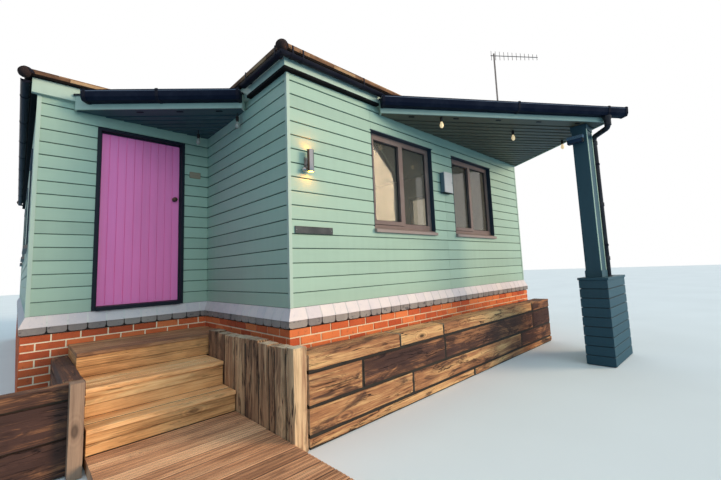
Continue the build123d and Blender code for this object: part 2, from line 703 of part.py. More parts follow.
# Turned knobs on both faces of the leaf
knob_x = leaf_right - KNOB_INSET
knob_profile = [(0, 0), (26, 0), (26, 6), (11, 10), (11, 24), (24, 34), (27, 46), (20, 56), (0, 60)]
knob = revolve(Face(Wire.make_polygon([(x, 0, z) for x, z in knob_profile])), axis=Axis.Z)
outer_knob = Pos(knob_x, leaf_front, KNOB_HEIGHT) * Rot(90, 0, 0) * knob
inner_knob = Pos(knob_x, leaf_back, KNOB_HEIGHT) * Rot(-90, 0, 0) * knob
save("door_knobs", outer_knob.solid(), inner_knob.solid())

# Wall lamp: a tube open at both ends on an arm, with its sensor on a stalk beside its foot
lamp_top = LAMP_FOOT + LAMP_TALL
lamp = pillar(LAMP_X, -LAMP_OUT, LAMP_FOOT, LAMP_RADIUS, LAMP_TALL)
for foot in (LAMP_FOOT - LAMP_RECESS, lamp_top - LAMP_RECESS):
    lamp = lamp - pillar(LAMP_X, -LAMP_OUT, foot, LAMP_RADIUS - LAMP_SKIN, 2 * LAMP_RECESS)
arm_left, arm_foot = LAMP_X - LAMP_ARM / 2, LAMP_FOOT + LAMP_ARM_FOOT
rose_left, rose_foot = LAMP_X - LAMP_ROSE_WIDE / 2, arm_foot + (LAMP_ARM - LAMP_ROSE_TALL) / 2
arm = block(arm_left, arm_left + LAMP_ARM, -LAMP_OUT, -LAMP_ROSE_THICK, arm_foot, arm_foot + LAMP_ARM)
rose_right, rose_top = rose_left + LAMP_ROSE_WIDE, rose_foot + LAMP_ROSE_TALL
rose = block(rose_left, rose_right, -LAMP_ROSE_THICK, 0, rose_foot, rose_top)
sensor_x = LAMP_X - SENSOR_SIDE
sensor = Pos(sensor_x, -SENSOR_OUT, LAMP_FOOT + SENSOR_RISE) * Sphere(SENSOR_RADIUS)
stalk_foot, half_stalk = LAMP_FOOT + LAMP_RECESS, SENSOR_STALK / 2
stalk = block(
    sensor_x, LAMP_X - LAMP_RADIUS / 2, -SENSOR_OUT - half_stalk, -SENSOR_OUT + half_stalk,
    stalk_foot, stalk_foot + SENSOR_STALK)
save("wall_lamp", (lamp + arm + rose + sensor + stalk).solid())

# Meter cabinet between the windows, and bare plates where the names would be
meter = block(METER_LEFT, METER_LEFT + METER_WIDE, -METER_DEEP, 0, METER_FOOT, METER_FOOT + METER_TALL)
save("meter_box", fillet(meter.edges().filter_by(Axis.Y), METER_ROUND).solid())
name_plate = block(
    NAME_PLATE_LEFT, NAME_PLATE_LEFT + NAME_PLATE_WIDE, -PLATE_THICK, 0,
    NAME_PLATE_FOOT, NAME_PLATE_FOOT + NAME_PLATE_TALL)
door_plate = block(
    DOOR_PLATE_LEFT, DOOR_PLATE_LEFT + DOOR_PLATE_WIDE, BAY_DEPTH - PLATE_THICK, BAY_DEPTH,
    DOOR_PLATE_FOOT, DOOR_PLATE_FOOT + DOOR_PLATE_TALL)
save("blank_plates", name_plate, door_plate)

# Floodlight on a stub arm beside the top of the post
flood_back = POST_X - FLOOD_STANDOFF
flood_front = POST_Y + FLOOD_INSET
flood_body = block(
    flood_back - FLOOD_THICK, flood_back, flood_front, flood_front + FLOOD_DEEP,
    FLOOD_FOOT, FLOOD_FOOT + FLOOD_TALL)
arm_front = flood_front + (FLOOD_DEEP - FLOOD_ARM_WIDE) / 2
flood_arm_foot = FLOOD_FOOT + (FLOOD_TALL - FLOOD_ARM_TALL) / 2
flood_arm = block(
    flood_back, POST_X, arm_front, arm_front + FLOOD_ARM_WIDE,
    flood_arm_foot, flood_arm_foot + FLOOD_ARM_TALL)
save("floodlight", (flood_body + flood_arm).solid())


def festoon_bulb(near, along, out, distance, inset, flex=0):
    """A bulb in its holder that hangs from a soffit, placed from the near end of its front edge."""
    x, y = shifted(shifted(near, along, distance), out, -inset)
    holder_top = SOFFIT - flex
    glass_top = holder_top - HOLDER_TALL
    piece = pillar(x, y, glass_top, HOLDER_RADIUS, HOLDER_TALL)
    if flex:
        piece = piece + pillar(x, y, holder_top, FLEX_RADIUS, flex)
    shares = [(0, 0), (0.58, 0), (0.9, 0.22), (1, 0.48), (0.82, 0.74), (0.42, 0.93), (0, 1)]
    outline = [(BULB_RADIUS * r, 0, -BULB_TALL * z) for r, z in shares]
    glass = revolve(Face(Wire.make_polygon(outline)), axis=Axis.Z)
    return (piece + Pos(x, y, glass_top) * glass).solid()


patio_bulbs = [festoon_bulb(patio_near, patio_along, patio_out, *spot) for spot in PATIO_BULBS]
porch_bulbs = [festoon_bulb(porch_near, porch_along, porch_out, *spot, PORCH_FLEX) for spot in PORCH_BULBS]
save("festoon_bulbs", *patio_bulbs, *porch_bulbs)


def oval_vents(near, along, out, count, first, pitch):
    """Oval vent covers in a row a little inside a canopy's front edge."""
    turn = Vector(*along, 0).get_signed_angle(Vector(1, 0, 0), Vector(0, 0, -1))
    cover = extrude(SlotOverall(VENT_LONG, VENT_WIDE, rotation=turn), amount=VENT_THICK)
    spots = [shifted(shifted(near, along, first + i * pitch), out, -VENT_INSET) for i in range(count)]
    return [(Pos(*spot, SOFFIT - VENT_THICK) * cover).solid() for spot in spots]


patio_vents = oval_vents(patio_near, patio_along, patio_out, PATIO_VENTS, PATIO_VENT_FIRST, PATIO_VENT_PITCH)
porch_vents = oval_vents(porch_near, porch_along, porch_out, PORCH_VENTS, PORCH_VENT_FIRST, PORCH_VENT_PITCH)
save("soffit_vents", *patio_vents, *porch_vents)

# Aerial: mast on two wall brackets, boom and tapering upright rods
mast_foot = MAST_TOP - MAST_LONG
save("aerial_mast", pillar(MAST_X, MAST_Y, mast_foot, MAST_RADIUS, MAST_LONG))


def mast_bracket(z):
    """A wall bracket whose collar holds the mast."""
    plate = block(
        BAY_WIDTH, BAY_WIDTH + BRACKET_PLATE, MAST_Y - BRACKET_PLATE_HALF_WIDE,
        MAST_Y + BRACKET_PLATE_HALF_WIDE, z - BRACKET_PLATE_HALF_TALL, z + BRACKET_PLATE_HALF_TALL)
    bar_y, bar_z = BRACKET_BAR_WIDE / 2, BRACKET_BAR_TALL / 2
    bar_end = MAST_X - MAST_RADIUS - COLLAR_WALL / 2
    bar = block(BAY_WIDTH, bar_end, MAST_Y - bar_y, MAST_Y + bar_y, z - bar_z, z + bar_z)
    collar = Cylinder(MAST_RADIUS + COLLAR_WALL, COLLAR_TALL) - Cylinder(MAST_RADIUS + JOINT, 2 * COLLAR_TALL)
    return (plate + bar + Pos(MAST_X, MAST_Y, z) * collar).solid()


save("mast_brackets", *[mast_bracket(mast_foot + up) for up in BRACKETS_UP])
boom_along = (cos(BOOM_ANGLE), sin(BOOM_ANGLE))
boom_side = (-boom_along[1], boom_along[0])
clamp_start = shifted((MAST_X, MAST_Y), boom_side, MAST_RADIUS + JOINT)
boom_middle = shifted(clamp_start, boom_side, BOOM_RADIUS + JOINT)
boom_start = shifted(boom_middle, boom_along, -BOOM_BEHIND)
boom_end = shifted(boom_start, boom_along, BOOM_LONG)
aerial = round_bar((*boom_start, BOOM_HEIGHT), (*boom_end, BOOM_HEIGHT), BOOM_RADIUS)
aerial = aerial + round_bar((*clamp_start, BOOM_HEIGHT), (*boom_middle, BOOM_HEIGHT), BOOM_CLAMP_RADIUS)
rod_pitch = (BOOM_LONG - 2 * ROD_INSET) / (RODS - 1)
for i in range(RODS):
    x, y = shifted(boom_start, boom_along, ROD_INSET + i * rod_pitch)
    tall = ROD_LONGEST + (ROD_SHORTEST - ROD_LONGEST) * i / (RODS - 1)
    aerial = aerial + pillar(x, y, BOOM_HEIGHT - tall / 2, ROD_RADIUS, tall)
save("aerial", aerial.solid())

# Sleeper wall before the garden front: courses on edge under one laid flat
sleepers = []
level = 0
front_left_end = SIDE_FACE + HALF_SLEEPER
edge_back = SLEEPER_FACE + SLEEPER_THICK
flat_back = SLEEPER_FACE + SLEEPER_FLAT
front_joints = ((2230,), (1093, 3560), (434, 1660, 4013))
for height, joints in zip(EDGE_COURSES, front_joints):
    ends = [front_left_end, *joints, FRONT_WALL_END]
    for a, b in zip(ends, ends[1:]):
        sleepers.append(block(a, b - JOINT, SLEEPER_FACE, edge_back, level, level + height - JOINT))
    level += height
flat_ends = [front_left_end, *FLAT_JOINTS, FRONT_WALL_END]
for a, b in zip(flat_ends, flat_ends[1:]):
    sleepers.append(block(a, b - JOINT, SLEEPER_FACE, flat_back, level, level + FLAT_COURSE))
save("front_sleepers", *sleepers)

# Upright half sleepers beside the steps; the nearest one is the corner post
side_back = SIDE_FACE + HALF_SLEEPER
side_sleepers = []
for i, (a, b) in enumerate(zip(SIDE_JOINTS, SIDE_JOINTS[1:])):
    top = SIDE_TOP - SIDE_UNEVEN * abs(sin(2.4 * i))
    side_sleepers.append(block(SIDE_FACE, side_back - JOINT, a, b - JOINT, 0, top))
save("side_sleepers", *side_sleepers)

# Steps: closed risers under boarded treads with a small nosing
step_right = SIDE_FACE - JOINT
brick_face = BRICK_OUT + JOINT


def step(y0, y1, top, right):
    """One step as a closed block under a tread that stands out as a nosing."""
    riser = block(STEP_LEFT, right, y0, y1 - JOINT, 0, top - TREAD_THICK)
    tread = block(STEP_LEFT, right, y0 - NOSING, y1 - JOINT, top - TREAD_THICK, top)
    return (riser + tread).solid()


save("low_step", step(STEP_LOW_Y, STEP_MID_Y, STEP_LOW, step_right))
save("middle_step", step(STEP_MID_Y, STEP_TOP_Y, STEP_MID, step_right))
save("door_landing", step(STEP_TOP_Y, BAY_DEPTH - BRICK_OUT, STEP_TOP, -brick_face))
save("step_deck", block(STEP_LEFT, step_right, DECK_FRONT, STEP_LOW_Y - JOINT, 0, DECK_TOP))

# Sleepers that hold the bed left of the steps, and their end post
left_x = STEP_LEFT - JOINT
left_wall_back = LEFT_WALL_FRONT + SLEEPER_THICK
left_sleepers = []
level = 0
for height in LEFT_COURSES:
    top = level + height - JOINT
    left_sleepers.append(
        block(left_x - LEFT_WALL_LONG, left_x, LEFT_WALL_FRONT, left_wall_back - JOINT, level, top))
    left_sleepers.append(
        block(left_x - SLEEPER_THICK, left_x, left_wall_back, BAY_DEPTH - brick_face, level, top))
    level += height
save("left_sleepers", *left_sleepers)
post_end = left_x - LEFT_POST_INSET
save("left_post", block(
    post_end - LEFT_POST_WIDE, post_end, LEFT_POST_FRONT, LEFT_WALL_FRONT - JOINT, 0, LEFT_POST_TOP))
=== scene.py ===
import logging
from dataclasses import dataclass
from enum import Enum
from itertools import product
from math import cos, floor, pi, radians, sin, tan
from random import Random

import bmesh
import bpy
from mathutils import Matrix, Vector, noise


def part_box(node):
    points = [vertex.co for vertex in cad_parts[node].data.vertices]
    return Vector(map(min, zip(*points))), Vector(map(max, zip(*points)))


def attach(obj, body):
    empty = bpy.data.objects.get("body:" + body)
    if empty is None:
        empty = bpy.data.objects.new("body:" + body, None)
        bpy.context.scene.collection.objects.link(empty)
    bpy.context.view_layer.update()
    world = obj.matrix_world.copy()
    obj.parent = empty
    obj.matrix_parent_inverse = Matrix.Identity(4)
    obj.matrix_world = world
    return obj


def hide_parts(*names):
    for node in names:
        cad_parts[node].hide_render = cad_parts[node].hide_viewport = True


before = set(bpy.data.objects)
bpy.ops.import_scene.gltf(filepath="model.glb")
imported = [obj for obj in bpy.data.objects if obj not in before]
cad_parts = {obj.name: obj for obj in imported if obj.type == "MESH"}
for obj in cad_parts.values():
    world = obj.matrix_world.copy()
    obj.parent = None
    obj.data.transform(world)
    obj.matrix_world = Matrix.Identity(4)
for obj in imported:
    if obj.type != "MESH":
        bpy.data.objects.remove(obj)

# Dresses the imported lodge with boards, bricks, tiles, timber and paint, in metres.
# +Y runs back from the garden front, and Z is height over the ground.

LOG = logging.getLogger("lodge")
LODGE, DOOR = "lodge", "door"
UP = Vector((0, 0, 1))
EAST = Vector((1, 0, 0))
NORTH = Vector((0, 1, 0))
Colour = Point = tuple[float, float, float]
Span = tuple[float, float]
Line = tuple[Span, Span]
Hole = tuple[float, float, float, float]
Split = tuple[float, float, float]
Look = int | float | Vector | None
GRAIN_DRIFT = 30
WEAR_ALONG, WEAR_ACROSS = 2.5, 11


class Grain(Enum):
    """Which way the grain of a finish runs over a piece."""

    X = (1, 0, 0)
    Y = (0, 1, 0)
    Z = (0, 0, 1)
    BOARD = (0, 0, 0)


class Value:
    """One output of a shader node; arithmetic on it adds Math nodes."""

    def __init__(self, tree: "Tree", socket: bpy.types.NodeSocket) -> None:
        """Keep the tree and the socket."""
        self.tree, self.socket = tree, socket

    def __add__(self, other: "Value | float") -> "Value":
        """Add a term."""
        return self.tree.math("ADD", self, other)

    def __sub__(self, other: "Value | float") -> "Value":
        """Take a term away."""
        return self.tree.math("SUBTRACT", self, other)

    def __rsub__(self, other: float) -> "Value":
        """Take this away from a number."""
        return self.tree.math("SUBTRACT", other, self)

    def __mul__(self, other: "Value | float") -> "Value":
        """Multiply by a term."""
        return self.tree.math("MULTIPLY", self, other)

    __radd__ = __add__
    __rmul__ = __mul__

    def __abs__(self) -> "Value":
        """Drop the sign."""
        return self.tree.math("ABSOLUTE", self)


class Tree:
    """A node tree, and how nodes and links are added to it."""

    def __init__(self, tree: bpy.types.NodeTree) -> None:
        """Keep Blender's tree."""
        self.tree = tree

    def plug(self, socket: bpy.types.NodeSocket, value: "Value | float | Colour") -> None:
        """Link a value to a socket, or set the socket to a number or colour."""
        if isinstance(value, Value):
            self.tree.links.new(value.socket, socket)
        elif socket.type == "RGBA":
            socket.default_value = (*value, 1.0)
        else:
            socket.default_value = value

    def node(self, kind: str, settings: dict = {}, sockets: dict = {}, out: int | str = 0) -> Value:
        """Add a node.

        Args:
            kind: the node's type.
            settings: its properties, or a ramp's stops, which are set first.
            sockets: values or links of its sockets, by name or number.
            out: which output is wanted, by name or number.

        Returns:
            That output.
        """
        made = self.tree.nodes.new(kind)
        for name, value in settings.items():
            if name != "stops":
                setattr(made, name, value)
                continue
            elements = made.color_ramp.elements
            while len(elements) < len(value):
                elements.new(0.5)
            for element, (position, colour) in zip(elements, value):
                element.position, element.color = position, (*colour, 1.0)
        for key, value in sockets.items():
            self.plug(made.inputs[key], value)
        return Value(self, made.outputs[out])

    def math(self, operation: str, *terms: "Value | float") -> Value:
        """Add one Math node over the terms given."""
        return self.node("ShaderNodeMath", {"operation": operation}, dict(enumerate(terms)))


class Shader(Tree):
    """The node tree of one material, which ends in a Principled shader."""

    def __init__(self, name: str, grain: Grain = Grain.BOARD) -> None:
        """Make the material and find its shader.

        Args:
            name: the material's name.
            grain: which way its grain runs.
        """
        self.material = bpy.data.materials.new(name)
        self.material.use_nodes = True
        super().__init__(self.material.node_tree)
        self.surface = self.tree.nodes["Principled BSDF"]
        self.grain = grain

    def place(self) -> Value:
        """Where a point is on the lodge, in metres."""
        return self.node("ShaderNodeTexCoord", out=3)

    def height(self) -> Value:
        """Height of a point over the ground."""
        return self.node("ShaderNodeSeparateXYZ", sockets={0: self.place()}, out=2)

    def scaled(self, vector: Value, scale: Point) -> Value:
        """Multiply a vector along each axis."""
        return self.node("ShaderNodeVectorMath", {"operation": "MULTIPLY"}, {0: vector, 1: scale})

    def stretched(self, along: float, across: float) -> Value:
        """Coordinates that run at one scale along the grain and another across it.

        Args:
            along: scale along the grain.
            across: scale across it.

        Returns:
            The coordinates.
        """
        if self.grain is Grain.BOARD:
            board = self.node("ShaderNodeAttribute", {"attribute_name": "grain"}, out=1)
            return self.scaled(board, (along, across, across))
        return self.scaled(self.place(), tuple(along if on else across for on in self.grain.value))

    def tone(self) -> "Value | float":
        """The shade that one board, brick or stone was given, 0 to 1."""
        if self.grain is not Grain.BOARD:
            return 0.5
        return self.node("ShaderNodeAttribute", {"attribute_name": "tone"}, out=2)

    def noise(self, vector: Value, scale: float = 1.0, detail: float = 4.0, rough: float = 0.55,
              warp: float = 0.0) -> Value:
        """Cloudy noise, 0 to 1, of so many octaves, with a weight for the finer ones and a distortion."""
        return self.node("ShaderNodeTexNoise", {}, {
            "Vector": vector, "Scale": scale, "Detail": detail, "Roughness": rough, "Distortion": warp})

    def cells(self, vector: Value) -> Value:
        """Distance from the nearest of many scattered points."""
        return self.node("ShaderNodeTexVoronoi", {}, {"Vector": vector, "Scale": 1.0})

    def step(self, value: Value, low: float, high: float) -> Value:
        """Rise smoothly from 0 at low to 1 at high."""
        return self.node("ShaderNodeMapRange", {"interpolation_type": "SMOOTHSTEP"}, {0: value, 1: low, 2: high})

    def ramp(self, value: Value, *stops: tuple[float, Colour]) -> Value:
        """Turn a value into a colour."""
        return self.node("ShaderNodeValToRGB", {"stops": stops}, {0: value})

    def mix(self, share: "Value | float", a: "Value | Colour", b: "Value | Colour") -> Value:
        """Blend two colours by the share of the second one."""
        return self.node("ShaderNodeMix", {"data_type": "RGBA"}, {0: share, 6: a, 7: b}, out=2)

    def bump(self, height: Value, depth: float) -> Value:
        """Tilt the normal by a height of 0 to 1 times a depth in metres."""
        return self.node("ShaderNodeBump", {}, {"Strength": 1.0, "Distance": depth, "Height": height})

    def dress(self, sockets: dict) -> None:
        """Set or link sockets of the Principled shader."""
        for name, value in sockets.items():
            self.plug(self.surface.inputs[name], value)


def tint(colour: Colour, amount: float) -> Colour:
    """A colour made lighter or darker by a factor."""
    return tuple(min(1.0, part * amount) for part in colour)


@dataclass(frozen=True)
class Finish:
    """A finish that a piece can be given."""

    name: str

    def material(self, grain: Grain = Grain.BOARD) -> bpy.types.Material:
        """The material of this finish, made once for each run of the grain.

        Args:
            grain: which way the grain runs.

        Returns:
            The material.
        """
        key = f"{self.name}_{grain.name.lower()}"
        if key not in bpy.data.materials:
            self.shade(Shader(key, grain))
        return bpy.data.materials[key]

    def shade(self, s: Shader) -> None:
        """Build the nodes; each kind of finish has its own."""
        raise NotImplementedError


@dataclass(frozen=True)
class Paint(Finish):
    """Paint on wood, with the grain telling through and marks of the weather."""

    colour: Colour
    roughness: float = 0.5
    fibre: float = 0.0008
    weather: float = 0.16
    soil: float = 0.0
    shine: float = 0.4

    def shade(self, s: Shader) -> None:
        """Grain, patches, rain marks and soil near the foot."""
        fibres = s.noise(s.stretched(4, 150), detail=3)
        patches = s.noise(s.stretched(0.8, 2.6), detail=5, warp=0.4)
        rain = s.noise(s.scaled(s.place(), (14, 14, 0.5)), detail=3)
        worn = patches * 0.5 + rain * 0.25 + fibres * 0.15 + s.tone() * 0.25 - 0.07
        colour = s.ramp(worn, (0.25, tint(self.colour, 1 - self.weather)), (0.5, self.colour),
                        (0.75, tint(self.colour, 1 + self.weather * 0.6)))
        if self.soil:
            low = s.step(s.height() + patches * 0.25, 1.45, 0.95) * self.soil
            colour = s.mix(low, colour, (0.30, 0.27, 0.20))
        sheen = self.roughness + (patches - 0.5) * 0.25
        s.dress({"Base Color": colour, "Roughness": sheen, "Specular IOR Level": self.shine,
                 "Normal": s.bump(fibres, self.fibre)})


@dataclass(frozen=True)
class Timber(Finish):
    """Bare timber with fibres, rings, cracks, knots and dark patches of weather."""

    dark: Colour
    middle: Colour
    pale: Colour
    cracks: float = 0.5
    knots: float = 0.5
    relief: float = 0.004
    roughness: float = 0.8
    blotch: float = 0.0
    contrast: float = 1.0
    fissure: float = 0.02

    def shade(self, s: Shader) -> None:
        """Colour from rings and fibres, with cracks, knots and patches in shade and bump."""
        broad = s.noise(s.stretched(1.1, 4), detail=5, rough=0.6)
        rings = s.noise(s.stretched(0.8, 22), detail=4, rough=0.6, warp=0.8)
        fibres = s.noise(s.stretched(4.0, 150), detail=3, rough=0.7)
        near = s.cells(s.stretched(2.2, 5.0))
        swirl = s.math("SINE", near * 75) * s.step(near, 0.36, 0.14) * self.knots
        mixed = broad * 0.6 + rings * 0.55 + fibres * 0.4 + swirl * 0.07 - 0.775
        tone = mixed * self.contrast + s.tone() * 0.42 + 0.29
        colour = s.ramp(tone, (0.18, self.dark), (0.5, self.middle), (0.82, self.pale))
        cloud = s.noise(s.stretched(1.7, 6.5), detail=5, rough=0.7, warp=0.7)
        patch = s.step(cloud - s.tone() * 0.14, 0.44, 0.56) * self.blotch
        colour = s.mix(patch, colour, tint(self.dark, 0.75))
        split = abs(s.noise(s.stretched(1.3, 19), detail=3, warp=0.9) - 0.5)
        torn = s.step(s.noise(s.stretched(1.9, 7), detail=3), 0.44, 0.60)
        crack = s.step(split, self.fissure, 0.0) * torn * self.cracks
        knot = s.step(near, 0.15, 0.07) * self.knots
        marks = s.math("MINIMUM", crack + knot, 1.0)
        colour = s.mix(marks, colour, tint(self.dark, 0.3))
        relief = rings * 0.35 + fibres * 0.45 + (1 - marks) * 0.8
        s.dress({"Base Color": colour, "Roughness": self.roughness + (fibres - 0.5) * 0.2,
                 "Normal": s.bump(relief, self.relief)})


@dataclass(frozen=True)
class Stone(Finish):
    """Fired clay, mortar, felt or granules: colour by piece, specks and a rough face."""

    dark: Colour
    middle: Colour
    pale: Colour
    speck: Colour
    specks: float = 0.35
    grit: float = 0.002
    roughness: float = 0.85
    fine: float = 60.0
    streaks: float = 0.0
    shine: float = 0.3

    def shade(self, s: Shader) -> None:
        """Tone of each piece, clouds over it, specks, smears and grit."""
        cloud = s.noise(s.place(), 7.0, detail=5, rough=0.65)
        grains = s.noise(s.place(), self.fine, detail=4, rough=0.7)
        tone = s.tone() * 0.7 + cloud * 0.55 + grains * 0.25 - 0.25
        colour = s.ramp(tone, (0.2, self.dark), (0.5, self.middle), (0.85, self.pale))
        spots = s.step(s.noise(s.place(), self.fine * 0.45, detail=3, rough=0.7), 0.57, 0.68)
        colour = s.mix(spots * self.specks, colour, self.speck)
        if self.streaks:
            smear = s.noise(s.scaled(s.place(), (38, 38, 7)), 1.0, detail=4, rough=0.65, warp=0.5)
            colour = s.mix(s.step(smear, 0.60, 0.68) * self.streaks, colour, self.pale)
        s.dress({"Base Color": colour, "Roughness": self.roughness + (cloud - 0.5) * 0.15,
                 "Specular IOR Level": self.shine, "Normal": s.bump(grains + cloud, self.grit)})


@dataclass(frozen=True)
class Hard(Finish):
    """Plastic, coated metal or bare metal, with faint dust and fine marks, and where asked a painted highlight line.
    """

    colour: Colour
    roughness: float = 0.4
    metal: float = 0.0
    dust: float = 0.1
    dust_and_highlight_colour: Colour = (0.32, 0.30, 0.27)
    marks: float = 0.0003
    coat: float = 0.0
    shine: float = 0.5
    # Heights of a pale line painted on as a highlight along a gutter's lip; none when both are 0.
    lip: Span = (0.0, 0.0)

    def shade(self, s: Shader) -> None:
        """Fine marks along the grain, dust in patches, and a pale line between two heights that is a painted
        highlight.
        """
        lines = s.noise(s.stretched(3, 220), detail=2)
        cloud = s.noise(s.place(), 5.0, detail=5, rough=0.6)
        dust_and_highlight = s.step(cloud, 0.42, 0.72) * self.dust
        base = s.ramp(lines * 0.6 + cloud * 0.4, (0.3, tint(self.colour, 0.86)), (0.7, tint(self.colour, 1.1)))
        # The pale line between the lip heights, in the dust colour, is a painted highlight.
        if self.lip[1]:
            low, high = self.lip
            z = s.height()
            dust_and_highlight = dust_and_highlight + s.step(z, low, low + 0.002) * (1 - s.step(z, high - 0.002, high))
        s.dress({"Base Color": s.mix(dust_and_highlight, base, self.dust_and_highlight_colour), "Metallic": self.metal,
                 "Roughness": self.roughness + (cloud - 0.5) * 0.2 + lines * 0.08,
                 "Coat Weight": self.coat, "Specular IOR Level": self.shine,
                 "Normal": s.bump(lines, self.marks)})


@dataclass(frozen=True)
class Pane(Finish):
    """Clear or tinted glass with a trace of dust."""

    colour: Colour
    clearness: float = 0.9

    def shade(self, s: Shader) -> None:
        """Dust that dulls the gloss a little."""
        film = s.noise(s.scaled(s.place(), (2, 2, 0.9)), 3.0, detail=4)
        s.dress({"Base Color": s.ramp(film, (0.3, self.colour), (0.8, tint(self.colour, 1.25))),
                 "Roughness": film * 0.05, "Transmission Weight": self.clearness, "IOR": 1.5,
                 "Normal": s.bump(s.noise(s.place(), 1.3, detail=1), 0.002)})


@dataclass(frozen=True)
class Glow(Finish):
    """A lit surface behind its own glass."""

    colour: Colour
    strength: float

    def shade(self, s: Shader) -> None:
        """A warm glow, brighter in its middle clouds."""
        cloud = s.noise(s.place(), 40.0, detail=2)
        warm = s.ramp(cloud, (0.3, tint(self.colour, 0.85)), (0.7, self.colour))
        s.dress({"Base Color": warm, "Emission Color": warm, "Emission Strength": self.strength, "Roughness": 0.2})


BOARD_PAINT = Paint("board_paint", (0.365, 0.475, 0.372), 0.52, 0.0008, 0.13, soil=0.10)
# Dark paint on the wall core where it shows between the boards, which is painted shade in the joints.
JOINT_SHADE_PAINT = Paint("board_joint_painted_shade", (0.065, 0.105, 0.090), 0.7, 0.0005, 0.2)
TRIM_PAINT = Paint("trim_paint", (0.43, 0.51, 0.42), 0.42, 0.0005)
# Both soffit paints are darkened to the shade under their canopies, which is painted shade.
PATIO_SHADE_PAINT = Paint("patio_soffit_paint", (0.135, 0.115, 0.075), 0.55, 0.0007, 0.25)
PORCH_SHADE_PAINT = Paint("porch_soffit_paint", (0.045, 0.085, 0.098), 0.55, 0.0007, 0.25)
POST_PAINT = Paint("post_paint", (0.042, 0.086, 0.108), 0.5, 0.0007, 0.2, shine=0.2)
# A paler copy of the post's teal for the strips on its sunlit face, which is painted light.
LIT_STRIP_PAINT = Paint("post_strip_painted_light", (0.38, 0.48, 0.39), 0.5, 0.0007, 0.2, shine=0.2)
DOOR_PINK = Paint("door_pink", (0.98, 0.215, 0.50), 0.42, 0.0008, 0.14)
JAMB_PAINT = Paint("jamb_paint", (0.012, 0.015, 0.023), 0.45, 0.0004, 0.25, shine=0.15)
# Near-black of the window linings, which is painted shade in the recessed reveals and under the heads.
REVEAL_SHADE_PAINT = Paint("reveal_painted_shade", (0.02, 0.04, 0.06), 0.4, 0.0004, 0.25)
INNER_PAINT = Paint("inner_paint", (0.55, 0.50, 0.42), 0.7, 0.0004, 0.08)
FRAME_COAT = Hard("frame_coat", (0.195, 0.132, 0.115), 0.42, dust=0.12, shine=0.35)
SILL_COAT = Hard("sill_coat", (0.30, 0.215, 0.19), 0.45, dust=0.2)
GASKET = Hard("gasket", (0.012, 0.012, 0.014), 0.6, shine=0.2)
GUTTER_BLACK = Hard("gutter_black", (0.010, 0.010, 0.018), 0.42, dust=0.03, shine=0.08)
# Its pale band at the lip heights is a painted highlight along the gutter's lip.
CANOPY_GUTTER = Hard("canopy_gutter_black", (0.007, 0.010, 0.022), 0.45, dust=0.05, dust_and_highlight_colour=(0.15, 0.16, 0.20),
                     shine=0.05, lip=(3.249, 3.258))
# Near-black of the eaves vent strip: partly a real vent, partly painted shade under the fascia.
VENT_AND_SHADE_BLACK = Hard("vent_and_shade_black", (0.006, 0.006, 0.007), 0.7, dust=0.02, shine=0.05)
PIPE_BLACK = Hard("pipe_black", (0.022, 0.021, 0.027), 0.38, dust=0.1, shine=0.22)
CABINET_COAT = Hard("cabinet_coat", (0.62, 0.56, 0.53), 0.4, dust=0.12)
# Dark blue of the cabinet's sides, which is painted shade.
CABINET_SHADE_BODY = Hard("cabinet_body_painted_shade", (0.10, 0.15, 0.19), 0.45, dust=0.1)
PLATE_COAT = Hard("plate_coat", (0.045, 0.043, 0.042), 0.4, dust=0.15)
SLATE_COAT = Hard("slate_coat", (0.33, 0.25, 0.17), 0.5, dust=0.2)
FLOOD_COAT = Hard("flood_coat", (0.016, 0.017, 0.02), 0.4, shine=0.2)
# Pale blue-grey on the floodlight's ribs, which is a painted highlight.
FLOOD_RIB_HIGHLIGHT = Hard("flood_rib_painted_highlight", (0.20, 0.28, 0.36), 0.5, dust=0.1, shine=0.2)
STEEL = Hard("steel", (0.44, 0.42, 0.42), 0.30, 1.0, dust=0.06)
DARK_BRASS = Hard("dark_brass", (0.10, 0.06, 0.045), 0.35, 0.9)
AERIAL_METAL = Hard("aerial_metal", (0.20, 0.18, 0.17), 0.45, 0.8, dust=0.25)
BULB_HOLDER = Hard("bulb_holder", (0.02, 0.014, 0.012), 0.5, shine=0.2)
LENS = Hard("lens", (0.018, 0.040, 0.080), 0.45, dust=0.04, shine=0.15)
GLASS = Pane("window_glass_clear", (0.56, 0.52, 0.44))
BULB_GLOW = Glow("bulb_glow", (1.0, 0.74, 0.42), 0.55)
BULB_PALE = Glow("bulb_pale", (0.34, 0.33, 0.29), 0.05)
LAMP_GLOW = Glow("lamp_glow", (1.0, 0.32, 0.02), 80.0)
BRICK = Stone("brick_face", (0.48, 0.085, 0.033), (0.65, 0.136, 0.046), (0.75, 0.200, 0.068),
              (0.13, 0.05, 0.035), 0.3, 0.0022)
MORTAR = Stone("mortar", (0.70, 0.53, 0.35), (0.93, 0.75, 0.52), (0.98, 0.86, 0.65), (0.34, 0.22, 0.13), 0.25)
CAP_FACE = Stone("cap_face", (0.62, 0.530, 0.545), (0.71, 0.595, 0.59), (0.82, 0.68, 0.62),
                 (0.40, 0.36, 0.42), 0.2, 0.0016, streaks=0.45)
CAP_JOINT = Stone("cap_joint", (0.50, 0.45, 0.45), (0.62, 0.55, 0.53), (0.74, 0.67, 0.62),
                  (0.32, 0.28, 0.3), 0.3, 0.002)
CAP_NOSE = Stone("cap_nose", (0.19, 0.155, 0.150), (0.28, 0.225, 0.205), (0.40, 0.325, 0.28),
                 (0.06, 0.055, 0.06), 0.75, 0.005, fine=38.0)
